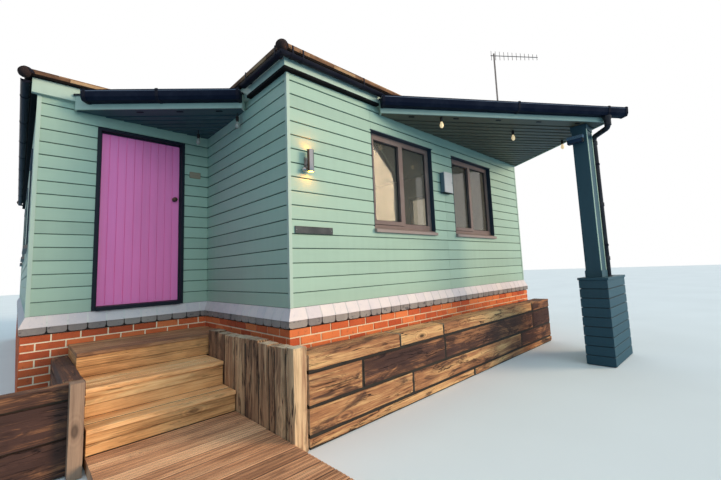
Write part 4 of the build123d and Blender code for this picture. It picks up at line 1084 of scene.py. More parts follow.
@dataclass(frozen=True)
class Roof:
    """Flat roof tiles over the decked roof, and cap tiles along its hips and ridges."""

    pitch: float = radians(15)
    out: float = 0.095
    eave: float = 3.38
    wide: float = 0.30
    gauge: float = 0.345
    lap: float = 0.075
    thick: float = 0.012
    gap: float = 0.003
    over: float = 0.012
    cap_radius: float = 0.049
    cap_thick: float = 0.007
    cap_long: float = 0.36
    cap_drop: float = 0.018
    dome_radius: float = 0.055

    def corners(self) -> dict[str, Vector]:
        """Corners of the slopes in plan, at eaves height or at ridge height."""
        o = self.out
        left, right, front, rear = -o, BODY.bay_width + o, -o, BODY.length + o
        porch, valley = -BODY.porch_width - o, BODY.bay_depth - o
        half_main, half_bay = (right - porch) / 2, (right - left) / 2
        main_x, bay_x = (right + porch) / 2, (right + left) / 2
        spots = {
            "front_left": (left, front, 0), "front_right": (right, front, 0), "rear_right": (right, rear, 0),
            "rear_left": (porch, rear, 0), "porch_left": (porch, valley, 0), "valley": (left, valley, 0),
            "main_front": (main_x, valley + half_main, half_main), "main_rear": (main_x, rear - half_main, half_main),
            "bay_front": (bay_x, front + half_bay, half_bay), "bay_rear": (bay_x, valley + half_bay, half_bay)}
        made = {name: Vector((x, y, self.eave + run * tan(self.pitch))) for name, (x, y, run) in spots.items()}
        made["break"] = Vector((right, made["bay_rear"].y, self.eave))
        return made

    def tile(self, shape: Shape, plan: list[Vector], up: Vector, eaves: float, tail: float, tone: float) -> None:
        """One tile, which leans on the course below.

        Args:
            shape: what it is added to.
            plan: its outline in plan.
            up: horizontal direction up the slope.
            eaves: distance of the eaves along that direction.
            tail: distance of its lower end up the slope.
            tone: its shade.
        """
        rise = self.thick * (self.gauge + self.lap) / self.gauge + 0.001
        rings = []
        for thick in (0.0, self.thick):
            ring = []
            for p in plan:
                v = p.dot(up) - eaves
                share = 1 - (v / cos(self.pitch) - tail) / (self.gauge + self.lap)
                z = self.eave + v * tan(self.pitch) + (rise * share + thick + 0.001) / cos(self.pitch)
                ring.append(Vector((p.x, p.y, z)))
            rings.append(ring)
        shape.loft(rings, along=up, tone=tone)

    def slope(self, shape: Shape, plan: list[Vector], up: Vector) -> None:
        """Flat tiles in broken bond over one slope.

        Args:
            shape: what they are added to.
            plan: the slope's corners, the first one on its eaves.
            up: horizontal direction up the slope.
        """
        flat = [Vector((p.x, p.y, 0)) for p in plan]
        centre = sum(flat, Vector()) / len(flat)
        lines = []
        for p, q in zip(flat, flat[1:] + flat[:1]):
            way = (q - p).normalized()
            # Every side but the eaves cuts the tiles.
            if abs(way.dot(up)) >= 0.001 or abs((p - flat[0]).dot(up)) >= 0.001:
                normal = Vector((way.y, -way.x, 0))
                lines.append((p, normal if (centre - p).dot(normal) < 0 else -normal))
        across = up.cross(UP)
        eaves = flat[0].dot(up)
        us = [p.dot(across) for p in flat]
        rise = max(p.dot(up) for p in flat) - eaves
        course, tail = 0, -self.over
        while tail * cos(self.pitch) < rise:
            low, high = (eaves + w * cos(self.pitch) for w in (tail, tail + self.gauge + self.lap))
            shift = (course % 2) * 0.5
            for column in range(floor(min(us) / self.wide - shift), floor(max(us) / self.wide - shift) + 1):
                left = (column + shift) * self.wide
                right = left + self.wide - self.gap
                outline = [across * a + up * b for a, b in ((left, low), (right, low), (right, high), (left, high))]
                for point, normal in lines:
                    outline = clipped(outline, point, normal)
                if len(outline) > 2:
                    tone = Random(f"{up.x:.0f} {up.y:.0f} {course} {column}").random()
                    self.tile(shape, outline, up, eaves, tail, tone)
            tail += self.gauge
            course += 1

    def cap_line(self, shape: Shape, low: Vector, high: Vector) -> None:
        """Half-round cap tiles that lap each other from one end of a line to the other.

        Args:
            shape: what they are added to.
            low: the lower end.
            high: the upper end.
        """
        way = (high - low).normalized()
        across = way.cross(UP).normalized()
        top = across.cross(way).normalized()
        length = (high - low).length
        count = max(1, round(length / self.cap_long))
        r = self.cap_radius
        arc = [across * cos(t) + top * sin(t) for t in (pi * (-0.04 + 1.08 * i / 12) for i in range(13))]
        for n in range(count):
            a, b = length * n / count - 0.02, length * (n + 1) / count + 0.004
            rings = []
            for s, radius in ((a, r + 0.009), (a + 0.028, r + 0.009), (a + 0.032, r + 0.003), (b, r - 0.003)):
                centre = low + way * s
                inner = [centre + p * (radius - self.cap_thick) for p in arc[::-1]]
                rings.append([centre + p * radius for p in arc] + inner)
            shape.loft(rings, along=way)

    def build(self) -> None:
        """All slopes and caps; the CAD roof stays as the deck below them, in a near-black that is painted shade."""
        c = self.corners()
        tiles, caps = Shape("roof_tiles"), Shape("cap_tiles")
        slopes = [
            (("front_left", "front_right", "bay_front"), NORTH),
            (("front_left", "bay_front", "bay_rear", "valley"), EAST),
            (("porch_left", "valley", "bay_rear", "main_front"), NORTH),
            (("porch_left", "main_front", "main_rear", "rear_left"), EAST),
            (("rear_left", "main_rear", "rear_right"), -NORTH),
            (("front_right", "break", "bay_rear", "bay_front"), -EAST),
            (("break", "rear_right", "main_rear", "main_front", "bay_rear"), -EAST)]
        for names, up in slopes:
            self.slope(tiles, [c[name] for name in names], up)
        starter = [(0.0004, 3.364), (0.011, 3.366), (0.012, 3.3955), (0.0004, 3.3955)]
        for side in outline_sides([(c[name].x, c[name].y) for name in
                                   ("front_left", "front_right", "rear_right", "rear_left", "porch_left", "valley")]):
            count = round(side.length / self.wide)
            for i in range(count):
                a, b = (side.length * k / count for k in (i, i + 1))
                ends = (side.bends[0] * (i == 0), side.bends[1] * (i == count - 1))
                tiles.bar(starter, (a, b - self.gap * (i < count - 1)), side.place(), ends)
        tiles.build([TILE], "roof_tile")
        drop, r = UP * -self.cap_drop, self.dome_radius
        lines = [("main_front", "main_rear"), ("bay_front", "bay_rear"), ("bay_rear", "main_front"),
                 ("front_left", "bay_front"), ("front_right", "bay_front"), ("porch_left", "main_front"),
                 ("rear_left", "main_rear"), ("rear_right", "main_rear")]
        for low, high in lines:
            self.cap_line(caps, c[low] + drop, c[high] + drop)
            if c[low].z < self.eave + 0.1:
                way = (c[high] - c[low]).normalized()
                dome = [(0, -r * 0.92), (r * 0.38, -r * 0.85), (r * 0.7, -r * 0.65), (r * 0.92, -r * 0.36),
                        (r, 0), (r, 0.012), (0, 0.012)]
                caps.turned(dome, c[low] + drop + way * -0.015, way, 20, tone=0.5)
        for name in ("main_front", "main_rear", "bay_front"):
            caps.turned([(0, -r), (r * 0.7, -r * 0.7), (r, 0), (r * 0.7, r * 0.7), (0, r)], c[name] + drop,
                        count=20, tone=0.5)
        caps.build([CAP_TILE], "roof_tile", ("ridge_caps",), smooth=45)
        keep("roof", ROOF_DECK_SHADE, bevel=0.002)


@dataclass(frozen=True)
class Gutters:
    """The black gutters with their unions and brackets, the fascias, and the black vent strip, whose black is also
    painted shade under the fascia.
    """

    wide: float = 0.110
    floor: float = 0.084
    front: float = 0.104
    foot: float = 3.160
    tall: float = 0.108
    kick: float = 0.034
    strap_wide: float = 0.028
    strap_thick: float = 0.0045
    reach: float = 0.082
    radius: float = 0.036
    deep: float = 0.031
    rim: float = 3.308
    arm: float = 0.082
    stop_end: float = 0.004
    bracket_pitch: float = 0.92
    slot_pitch: float = 0.05

    def strap(self, shape: Shape, place: Matrix, x: float) -> None:
        """A strap under and round the front of a canopy gutter.

        Args:
            shape: what it is added to.
            place: the gutter's side, out from the fascia's face.
            x: where its middle is.
        """
        t, top, half = self.strap_thick, self.tall, self.strap_wide / 2
        outer = [(0.001, -t), (self.floor + 0.002, -t), (self.front + t, self.kick - 0.002),
                 (self.wide + t, top), (self.wide + t, top + 0.006), (self.wide - 0.014, top + 0.006)]
        inner = [(self.wide - 0.014, top + 0.0005), (self.wide + 0.0003, top + 0.0005),
                 (self.front + 0.0003, self.kick), (self.floor, -0.0003), (0.001, -0.0003)]
        shape.bar([(y, self.foot + z) for y, z in outer + inner], (x - half, x + half), place)

    def round(self, radius: float, start: float = 0.0) -> list[Span]:
        """An arc round the middle of the eaves gutter, from its front lip to its back.

        Args:
            radius: its radius.
            start: where it starts; 0 is level with the front lip.

        Returns:
            (out, z) points.
        """
        middle = self.reach - self.radius
        lower = radius * self.deep / self.radius
        turns = [start + (pi - start) * i / 14 for i in range(15)]
        return [(middle + radius * cos(t), self.rim - lower * sin(t)) for t in turns]

    def channel(self, shape: Shape, path: list[Span], unions: tuple[tuple[float, ...], ...] = ()) -> None:
        """A shallow round gutter with a rolled lip, stop ends, unions and brackets.

        Args:
            shape: what it is added to.
            path: its back edge in plan; the gutter is on the right of travel.
            unions: distances of the unions along each side, or none for an even spread.
        """
        r, out = self.radius, self.reach
        skin = self.round(r) + self.round(r - 0.0025)[::-1]
        bead = [(out - 0.003 + 0.005 * cos(t), self.rim + 0.005 * sin(t)) for t in (pi * i / 4 for i in range(8))]
        band = self.round(r + 0.0045, -0.12) + self.round(r + 0.0003, -0.12)[::-1]
        stop = self.round(r + 0.002)
        sides = outline_sides(path, closed=False)
        for i, side in enumerate(sides):
            place, length = side.place(), side.length
            shape.run(skin, side)
            shape.run(bead, side)
            if i == 0:
                shape.bar(stop, (0, self.stop_end), place)
            if i == len(sides) - 1:
                shape.bar(stop, (length - self.stop_end, length), place)
            count = max(1, round(length / self.bracket_pitch))
            for x in unions[i] if unions else [length * (k + 0.5) / count for k in range(count)]:
                shape.bar(band, (x - 0.013, x + 0.013), place)
                shape.block((x - 0.008, out - 0.008, self.rim + 0.002), (x + 0.008, out, self.rim + self.arm), 0.002,
                            place)

    def vents(self) -> None:
        """The slotted black strip under the eaves, wherever no canopy covers it: partly a real vent, partly painted
        shade under the fascia.
        """
        shape = Shape("eaves_vents")
        w, d, p, n = BODY.bay_width, BODY.bay_depth, BODY.porch_width, BODY.length
        # The strip wraps the foot of the fascia; its black there is painted shade.
        profile = [(0.0015, 3.1996), (0.0502, 3.1996), (0.0502, 3.2205), (0.0517, 3.2205), (0.0517, 3.1950),
                   (0.046, 3.1925), (0.0015, 3.1925)]
        for path in (((0, 0.72), (0, 0), (1.185, 0)), ((w, 0.08), (w, n), (-p, n), (-p, d))):
            for side in outline_sides(list(path), closed=False):
                shape.run(profile, side)
                slots = int(side.length / self.slot_pitch)
                for i in range(slots):
                    x = (i + 0.5) * side.length / slots
                    shape.block((x - 0.014, 0.008, 3.1910), (x + 0.014, 0.040, 3.1930), place=side.place())
        shape.build([VENT_AND_SHADE_BLACK], "gutter_plastic")

    def build(self) -> None:
        """Fascias, gutters, straps, and vents whose black is also painted shade."""
        for node in ("eaves_fascia", "patio_fascia", "porch_fascia"):
            keep(node, TRIM_PAINT, Grain.X, 0.004)
        keep("corner_trims", TRIM_PAINT, Grain.Z, 0.0015)
        for node in ("patio_gutter", "porch_gutter"):
            keep(node, CANOPY_GUTTER, Grain.X, 0.0012)
        w, d, p, n, o = BODY.bay_width, BODY.bay_depth, BODY.porch_width, BODY.length, 0.05
        bay, main = Shape("bay_gutter_rounds"), Shape("main_gutter_rounds")
        self.channel(bay, [(-o, 0.70), (-o, -o), (1.185, -o)], ((0.12, 0.72), (0.046, 0.158, 0.938)))
        self.channel(main, [(w + o, 0.12), (w + o, n + o), (-p - o, n + o), (-p - o, d - o)])
        bay.build([GUTTER_BLACK], "gutter_plastic", ("bay_gutter",), smooth=40)
        main.build([GUTTER_BLACK], "gutter_plastic", ("main_gutter",), smooth=40)
        straps = Shape("gutter_straps")
        for near, way, ends, marks in ((PATIO_NEAR, PATIO_WAY, (0, 3.285), (0.02, 1.72, 3.0, 3.26)),
                                       (PORCH_NEAR, PORCH_WAY, (1.591, 0), (0.03, 0.75, 1.57))):
            side = outline_sides([tuple(Vector(near) + Vector(way) * end) for end in ends], closed=False)[0]
            for x in marks:
                self.strap(straps, side.place(), x)
        straps.build([GUTTER_BLACK], "gutter_plastic")
        self.vents()


@dataclass(frozen=True)
class Canopy:
    """One flat canopy: boarded soffit, deck, felt and drip edge; its hand is 1 where outside is on the right."""

    name: str
    paint: Paint
    hand: int
    near: Span
    along: Span
    limits: tuple[Line, ...]
    walls: tuple[Line, ...]
    edges: tuple[Span, ...]
    top: float = 3.194
    roof: float = 3.252
    first: float = 0.185
    gap: float = 0.020
    board: float = 0.094
    joint: float = 0.015
    tilt: float = 0.006
    thick: float = 0.016
    felt_wide: float = 0.62
    felt_lap: float = 0.05

    def plan(self, limits: tuple[Line, ...]) -> list[Vector]:
        """The canopy's plan inside a set of limiting lines.

        Args:
            limits: points and outward directions of the lines.

        Returns:
            Its corners.
        """
        plan = [Vector((x, y, 0)) for x, y in ((-9, -9), (9, -9), (9, 9), (-9, 9))]
        for point, outward in limits:
            plan = clipped(plan, Vector((*point, 0)), Vector((*outward, 0)).normalized())
        return plan

    def build(self) -> None:
        """Soffit boards parallel to the front edge, and what lies over them."""
        way = Vector((*self.along, 0)).normalized()
        out = Vector((way.y, -way.x, 0)) * self.hand
        near = Vector((*self.near, 0))
        plan = self.plan(self.limits)
        boards = Shape(f"{self.name}_soffit")
        deep = max((near - p).dot(out) for p in plan)
        start, wide, gap = CANOPY_INSET, self.first, self.gap
        lid = BODY.soffit + self.thick
        while start < deep:
            strip = clipped(plan, near - out * start, out)
            strip = clipped(strip, near - out * (start + wide), -out)
            if len(strip) > 2:
                under = [Vector((p.x, p.y, BODY.soffit + self.tilt * ((near - p).dot(out) - start) / wide))
                         for p in strip]
                boards.loft([under, [Vector((p.x, p.y, lid)) for p in strip]], along=way)
            start += wide + gap
            wide, gap = self.board, self.joint
        boards.slab(plan, (lid, self.top), mark=1, along=way, tone=0.4)
        boards.build([self.paint, SHADOW_WOOD], "soffit_board", (f"{self.name}_canopy",))
        felt = Shape(f"{self.name}_felt")
        upper = self.plan(self.limits + self.walls)
        felt.slab(upper, (self.top, self.roof), tone=0.4)
        for i in range(1, 5):
            lap = clipped(upper, near - out * (i * self.felt_wide - self.felt_lap), out)
            lap = clipped(lap, near - out * (i * self.felt_wide), -out)
            felt.slab(lap, (self.roof, self.roof + 0.004), tone=0.9)
        for side in outline_sides(list(self.edges), closed=False):
            drip = [(-0.024, 3.262), (0.010, 3.262), (0.010, 3.252), (0.014, 3.252), (0.014, 3.270),
                    (0.010, 3.274), (-0.024, 3.274)]
            felt.run(drip, side, tone=0.2)
        felt.build([FELT], "soffit_board")


def moved(point: Span, way: Span, by: float) -> Span:
    """A plan point moved along a direction."""
    return point[0] + by * way[0], point[1] + by * way[1]


def canopies() -> list[Canopy]:
    """The patio canopy beside the garden front and the porch canopy over the door."""
    near, way = PATIO_NEAR, PATIO_WAY
    corner, out = moved(near, way, 3.08), (way[1], -way[0])
    right = (4.86 - corner[0], -corner[1])
    length = (right[0] ** 2 + right[1] ** 2) ** 0.5
    right_out = (right[1] / length, -right[0] / length)
    limits = (
        (moved(near, out, -CANOPY_INSET), out), (moved(near, way, CANOPY_INSET), (-way[0], -way[1])),
        (moved(corner, right_out, -CANOPY_INSET), right_out), ((0, 0), (0, 1)))
    edges = ((1.235, 0.0), near, corner, (4.82, -0.065))
    patio = Canopy("patio", PATIO_SHADE_PAINT, 1, near, way, limits, (((0, -0.052), (0, 1)),), edges)
    near, way = PORCH_NEAR, PORCH_WAY
    far, out = moved(near, way, 1.7114), (-way[1], way[0])
    limits = (
        (moved(near, out, -CANOPY_INSET), out), (moved(near, (-0.7071, 0.7071), CANOPY_INSET), (1, -1)),
        ((far[0] + CANOPY_INSET, far[1]), (-1, 0)), ((0, BODY.bay_depth), (0, 1)), ((-0.0003, 0), (1, 0)))
    walls = (((0, BODY.bay_depth - 0.052), (0, 1)), ((-0.052, 0), (1, 0)))
    edges = ((far[0], 1.912), far, near, (-0.052, 0.806))
    return [patio, Canopy("porch", PORCH_SHADE_PAINT, -1, near, way, limits, walls, edges)]


@dataclass(frozen=True)
class Post:
    """The canopy post with its edge strips, its boarded pier, and the rainwater pipe."""

    low: Span = (3.56, -1.542)
    high: Span = (3.81, -1.367)
    foot: float = 1.084
    board: float = 0.118
    board_gap: float = 0.007
    chamfer: float = 0.004
    strip_thick: float = 0.006
    strip_wide: float = 0.028
    drop: Span = (3.862, -1.550)
    outlet: Span = (3.6583, -1.7740)
    pipe_radius: float = 0.034
    sockets: tuple[float, ...] = (1.30, 2.02, 2.875)

    def pier(self) -> None:
        """Pier boards round a dark core."""
        low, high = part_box("post_pier")
        shape = Shape("pier_boards")
        inset = Vector((0.014, 0.014, 0))
        shape.block(tuple(low + inset), tuple(high - inset), mark=1)
        corners = [(low.x, low.y), (high.x, low.y), (high.x, high.y), (low.x, high.y)]
        for side in outline_sides(corners):
            z = c = self.chamfer
            while z < high.z - 0.01:
                top = min(z + self.board - self.board_gap, high.z)
                profile = [(-0.018, z), (-c, z), (0, z + c), (0, top - c), (-c, top), (-0.018, top)]
                shape.run(profile, side)
                z += self.board
        shape.build([POST_PAINT, SHADOW_WOOD], "post_paint", ("post_pier",))

    def strips(self) -> None:
        """Slim strips on the edges of the post's front face, paler than the post as painted light, and a collar at its
        top and foot.
        """
        shape = Shape("post_strips")
        x0, x1, y0, y1 = self.low[0], self.high[0], self.low[1], self.high[1]
        t, w = self.strip_thick, self.strip_wide
        foot, top = self.foot + 0.001, BODY.soffit - 0.001
        for x in (x0 + 0.001, x1 - w - 0.001):
            shape.block((x, y0 - t, foot), (x + w, y0 + 0.002, top), 0.002, along=UP)
        for z0, z1 in ((foot, foot + 0.09), (top - 0.07, top)):
            for y in (y0 - 0.010, y1 + 0.0005):
                shape.block((x0 - 0.008, y, z0), (x1 + 0.008, y + 0.0095, z1), 0.003, mark=1)
        shape.build([LIT_STRIP_PAINT, POST_PAINT], "post_paint")

    def pipe(self) -> None:
        """Sockets of the pipe and the outlet under the gutter."""
        shape = Shape("pipe_sockets")
        r = self.pipe_radius
        collar = [(r - 0.001, 0), (r + 0.006, 0), (r + 0.007, 0.006), (r + 0.007, 0.046), (r + 0.004, 0.052),
                  (r - 0.001, 0.052)]
        for z in self.sockets:
            shape.turned(collar, Vector((*self.drop, z)), count=24)
        spout = [(r - 0.001, 0), (r + 0.006, 0), (r + 0.006, 0.07), (r + 0.016, 0.10), (r + 0.016, 0.122),
                 (r - 0.001, 0.122)]
        shape.turned(spout, Vector((*self.outlet, 3.035)), count=24)
        shape.turned([(r - 0.001, 0), (r + 0.010, 0), (r + 0.008, 0.018), (r - 0.001, 0.020)],
                     Vector((*self.drop, self.foot + 0.0005)), count=24)
        shape.build([PIPE_BLACK], "gutter_plastic", smooth=35)

    def build(self) -> None:
        """The post and all that goes with it."""
        keep("canopy_post", POST_PAINT, Grain.Z, 0.004)
        keep("pier_coping", POST_PAINT, Grain.X, 0.005)
        keep("downpipe", PIPE_BLACK, Grain.Z, 0.001)
        keep("pipe_clips", GUTTER_BLACK, Grain.Z, 0.001)
        keep("soffit_vents", GUTTER_BLACK, Grain.X, 0.001)
        self.pier()
        self.strips()
        self.pipe()


@dataclass(frozen=True)
class Windows:
    """Coated frames, sills and panes, with black gaskets round the glass."""

    face: float = 0.052
    sash: float = 0.016
    line: float = 0.003

    def gaskets(self) -> None:
        """Slim gaskets in both lights of each window, and the gap round the sash."""
        shape = Shape("window_gaskets")
        half, light = BODY.window_wide / 2, (BODY.window_wide - 3 * self.face) / 2
        foot, head = BODY.opening[0] + BODY.sill_tall + self.face, BODY.opening[1] - self.face
        lights = ((self.face - half, 0.030), (self.face / 2, 0.014))
        for i, side in enumerate(BODY.sides()):
            for centre in BODY.windows()[i]:
                for edge, margin in lights:
                    a, b = centre + edge + margin, centre + edge + light - margin
                    self.loop(shape, side.place(), (a, b), (foot + margin, head - margin), -BODY.setback - 0.029,
                              0.008, 0.006)
                edge, past = centre + lights[0][0], self.sash + self.line
                self.loop(shape, side.place(), (edge - past, edge + light + past), (foot - past, head + past),
                          -BODY.setback - 0.0005, self.line, self.line)
        shape.build([GASKET], "window_frame")

    def loop(self, shape: Shape, place: Matrix, x: Span, z: Span, y: float, wide: float, proud: float) -> None:
        """A thin square loop.

        Args:
            shape: what it is added to.
            place: the wall's side.
            x: its outer left and right.
            z: its outer foot and head.
            y: where its back lies.
            wide: its width.
            proud: how far it stands out.
        """
        rings = []
        for inset, depth in ((0, y), (wide, y), (wide, y + proud), (0, y + proud)):
            x0, x1, z0, z1 = x[0] + inset, x[1] - inset, z[0] + inset, z[1] - inset
            rings.append([(x0, depth, z0), (x1, depth, z0), (x1, depth, z1), (x0, depth, z1)])
        shape.loft(rings, place, closed=True)

    def build(self) -> None:
        """Frames, sills, panes and gaskets."""
        keep("window_frames", FRAME_COAT, Grain.Z, 0.0025)
        keep("window_sills", SILL_COAT, Grain.X, 0.003)
        keep("window_glass", GLASS, Grain.Z, 0.0005)
        self.gaskets()


@dataclass(frozen=True)
class Doorway:
    """The boarded door leaf in its dark frame."""

    left: float = -1.120
    right: float = -0.320
    foot: float = 1.046
    top: float = 2.950
    front: float = 2.032
    back: float = 2.076
    boards: int = 10
    open_joint: float = 0.0025
    chamfer: float = 0.0035

    def leaf(self) -> None:
        """Narrow upright boards with open joints, on both faces."""
        shape = Shape("door_boards")
        pitch = (self.right - self.left) / self.boards
        f, b, c = self.front, self.back, self.chamfer
        for i in range(self.boards):
            x0 = self.left + i * pitch
            x1 = x0 + pitch - self.open_joint * (i < self.boards - 1)
            ring = [(x0 + 0.0004, f + c * 2), (x0 + c, f), (x1 - c, f), (x1 - 0.0004, f + c * 2),
                    (x1 - 0.0004, b - c * 2), (x1 - c, b), (x0 + c, b), (x0 + 0.0004, b - c * 2)]
            shape.loft([[(x, y, z) for x, y in ring] for z in (self.foot, self.top)], along=UP)
        shape.block((self.left + 0.002, f + 0.007, self.foot + 0.001),
                    (self.right - 0.002, b - 0.007, self.top - 0.001), along=UP, tone=0.3)
        shape.build([DOOR_PINK], "door_paint", ("door_leaf",), DOOR)

    def build(self) -> None:
        """Leaf, frame and ironmongery."""
        self.leaf()
        keep("door_jambs", JAMB_PAINT, Grain.Z, 0.003)
        keep("door_head", JAMB_PAINT, Grain.X, 0.003)
        keep("threshold", JAMB_PAINT, Grain.X, 0.004)
        keep("door_knobs", DARK_BRASS, Grain.Z, 0.001)
        keep("frame_hinges", STEEL, Grain.Z, 0.0005)
        keep("leaf_hinges", STEEL, Grain.Z, 0.0005)


@dataclass(frozen=True)
class Fittings:
    """Lamp, bulbs, meter cabinet, bare plates, floodlight and aerial."""

    lamp: Point = (0.205, -0.066, 2.246)
    lamp_tall: float = 0.215

    def lamp_glow(self) -> None:
        """Lit discs inside both ends of the wall lamp, and a dark band down one side of its body that is a painted
        dark reflection.
        """
        shape = Shape("lamp_discs")
        x, y, z = self.lamp
        disc = [(0, 0), (0.0275, 0), (0.0275, 0.004), (0, 0.004)]
        for height in (0.006, self.lamp_tall - 0.010):
            shape.turned(disc, Vector((x, y, z + height)), count=24)
        # The dark brass band on the side away from the light is a painted dark reflection.
        turns = [radians(146 + 7 * i) for i in range(11)]
        rings = [[(x + r * cos(t), y + r * sin(t), z + height) for r, arc in ((0.0322, turns), (0.0300, turns[::-1]))
                  for t in arc] for height in (0.001, self.lamp_tall - 0.001)]
        shape.loft(rings, mark=1)
        shape.build([LAMP_GLOW, DARK_BRASS], "bulb")

    def bulbs(self) -> None:
        """Glass bulbs in dark ribbed holders."""
        shape = Shape("festoon_glass")
        spots = [(1.870, -0.433, 0.0), (3.027, -0.796, 0.0), (4.021, -1.101, 0.0), (-0.048, 0.960, 0.045),
                 (-0.200, 1.730, 0.045)]
        for x, y, flex in spots:
            top = Vector((x, y, BODY.soffit - flex))
            if flex:
                shape.turned([(0.005, 0), (0.005, flex)], top, count=10)
            ribs = [(0.012, 0), (0.016, -0.004), (0.016, -0.014), (0.0145, -0.016), (0.017, -0.018),
                    (0.017, -0.040), (0.015, -0.043), (0.015, -0.060), (0.0, -0.060)]
            shape.turned([(0, 0), *ribs], top, count=20)
            glass = [(0.0130, -0.058), (0.0135, -0.066), (0.0170, -0.076), (0.0220, -0.088), (0.0245, -0.100),
                     (0.0230, -0.113), (0.0180, -0.126), (0.0100, -0.134), (0.0, -0.136)]
            shape.turned([(0, -0.058), *glass], top, count=24, mark=2 if flex else 1)
        shape.build([BULB_HOLDER, BULB_GLOW, BULB_PALE], "bulb", ("festoon_bulbs",), smooth=50)

    def cabinet(self) -> None:
        """Meter cabinet: a body whose dark blue is painted shade on its sides, under a pale lid with a drip edge."""
        shape = Shape("meter_cabinet")
        low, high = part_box("meter_box")
        x0, x1, z0, z1 = low.x, high.x, low.z, high.z
        # The body's dark blue shows on the cabinet's sides as painted shade.
        shape.block((x0 + 0.002, -0.068, z0 + 0.002), (x1 - 0.002, -0.001, z1 - 0.002), 0.010, mark=1)
        shape.block((x0 + 0.001, -0.080, z0 + 0.004), (x1 - 0.001, -0.0665, z1 - 0.002), 0.006)
        shape.block((x0, -0.079, z1 - 0.010), (x1, -0.001, z1), 0.003)
        shape.block((x0 + 0.006, -0.076, z0), (x1 - 0.006, -0.003, z0 + 0.006), 0.002, mark=2)
        shape.turned([(0, 0), (0.007, 0), (0.007, 0.003), (0, 0.003)], Vector((x1 - 0.02, -0.0795, 2.46)), -NORTH,
                     12, mark=2)
        shape.build([CABINET_COAT, CABINET_SHADE_BODY, GASKET], "cabinet", ("meter_box",))

    def plates(self) -> None:
        """Bare plates with a raised rim, each on two screws."""
        shape = Shape("bare_plates")
        for x0, x1, y, z0, z1, mark in ((0.058, 0.486, 0.0, 1.668, 1.734, 0), (-0.222, -0.092, 1.97, 2.556, 2.634, 1)):
            shape.block((x0, y - 0.0095, z0), (x1, y, z1), 0.002, mark=mark)
            rim = 0.005
            for low, high in (((x0, z0), (x1, z0 + rim)), ((x0, z1 - rim), (x1, z1)),
                              ((x0, z0 + rim), (x0 + rim, z1 - rim)), ((x1 - rim, z0 + rim), (x1, z1 - rim))):
                shape.block((low[0], y - 0.012, low[1]), (high[0], y - 0.009, high[1]), 0.0008, mark=mark)
            for x in (x0 + 0.016, x1 - 0.016):
                shape.turned([(0, 0), (0.004, 0), (0.003, 0.002), (0, 0.0024)],
                             Vector((x, y - 0.0095, (z0 + z1) / 2)), -NORTH, 10, mark=2)
        shape.build([PLATE_COAT, SLATE_COAT, STEEL], "plate", ("blank_plates",))

    def flood(self) -> None:
        """A ribbed heat sink over the dark lens housing of the floodlight, its ribs paler than the housing as a
        painted highlight.
        """
        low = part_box("floodlight")[0]
        shape = Shape("flood_lens")
        x, back, y0, y1, z0 = low.x, low.x + 0.060, low.y, low.y + 0.190, low.z
        middle = z0 + 0.055
        shape.block((x - 0.003, y0 + 0.010, z0 + 0.006), (x + 0.002, y1 - 0.010, middle - 0.004), 0.0015)
        shape.block((x + 0.004, y0 + 0.008, z0 - 0.004), (back - 0.006, y1 - 0.008, z0 + 0.001), 0.0015)
        for i in range(5):
            z = middle + i * 0.0085
            shape.block((x - 0.005, y0 - 0.005, z), (back - 0.002, y1 + 0.002, z + 0.005), 0.0012, mark=2)
        shape.block((x + 0.002, y0 - 0.003, z0 + 0.004), (x + 0.052, y0 + 0.001, middle - 0.006), 0.001, mark=1)
        shape.build([LENS, FLOOD_COAT, FLOOD_RIB_HIGHLIGHT], "black_metal")

    def build(self) -> None:
        """All fittings."""
        keep("wall_lamp", STEEL, Grain.Z, 0.001)
        keep("floodlight", FLOOD_COAT, Grain.X, 0.003)
        keep("aerial_mast", AERIAL_METAL, Grain.Z, 0.001)
        keep("mast_brackets", AERIAL_METAL, Grain.X, 0.001)
        keep("aerial", AERIAL_METAL, Grain.X, 0.0008)
        self.lamp_glow()
        self.bulbs()
        self.cabinet()
        self.plates()
        self.flood()


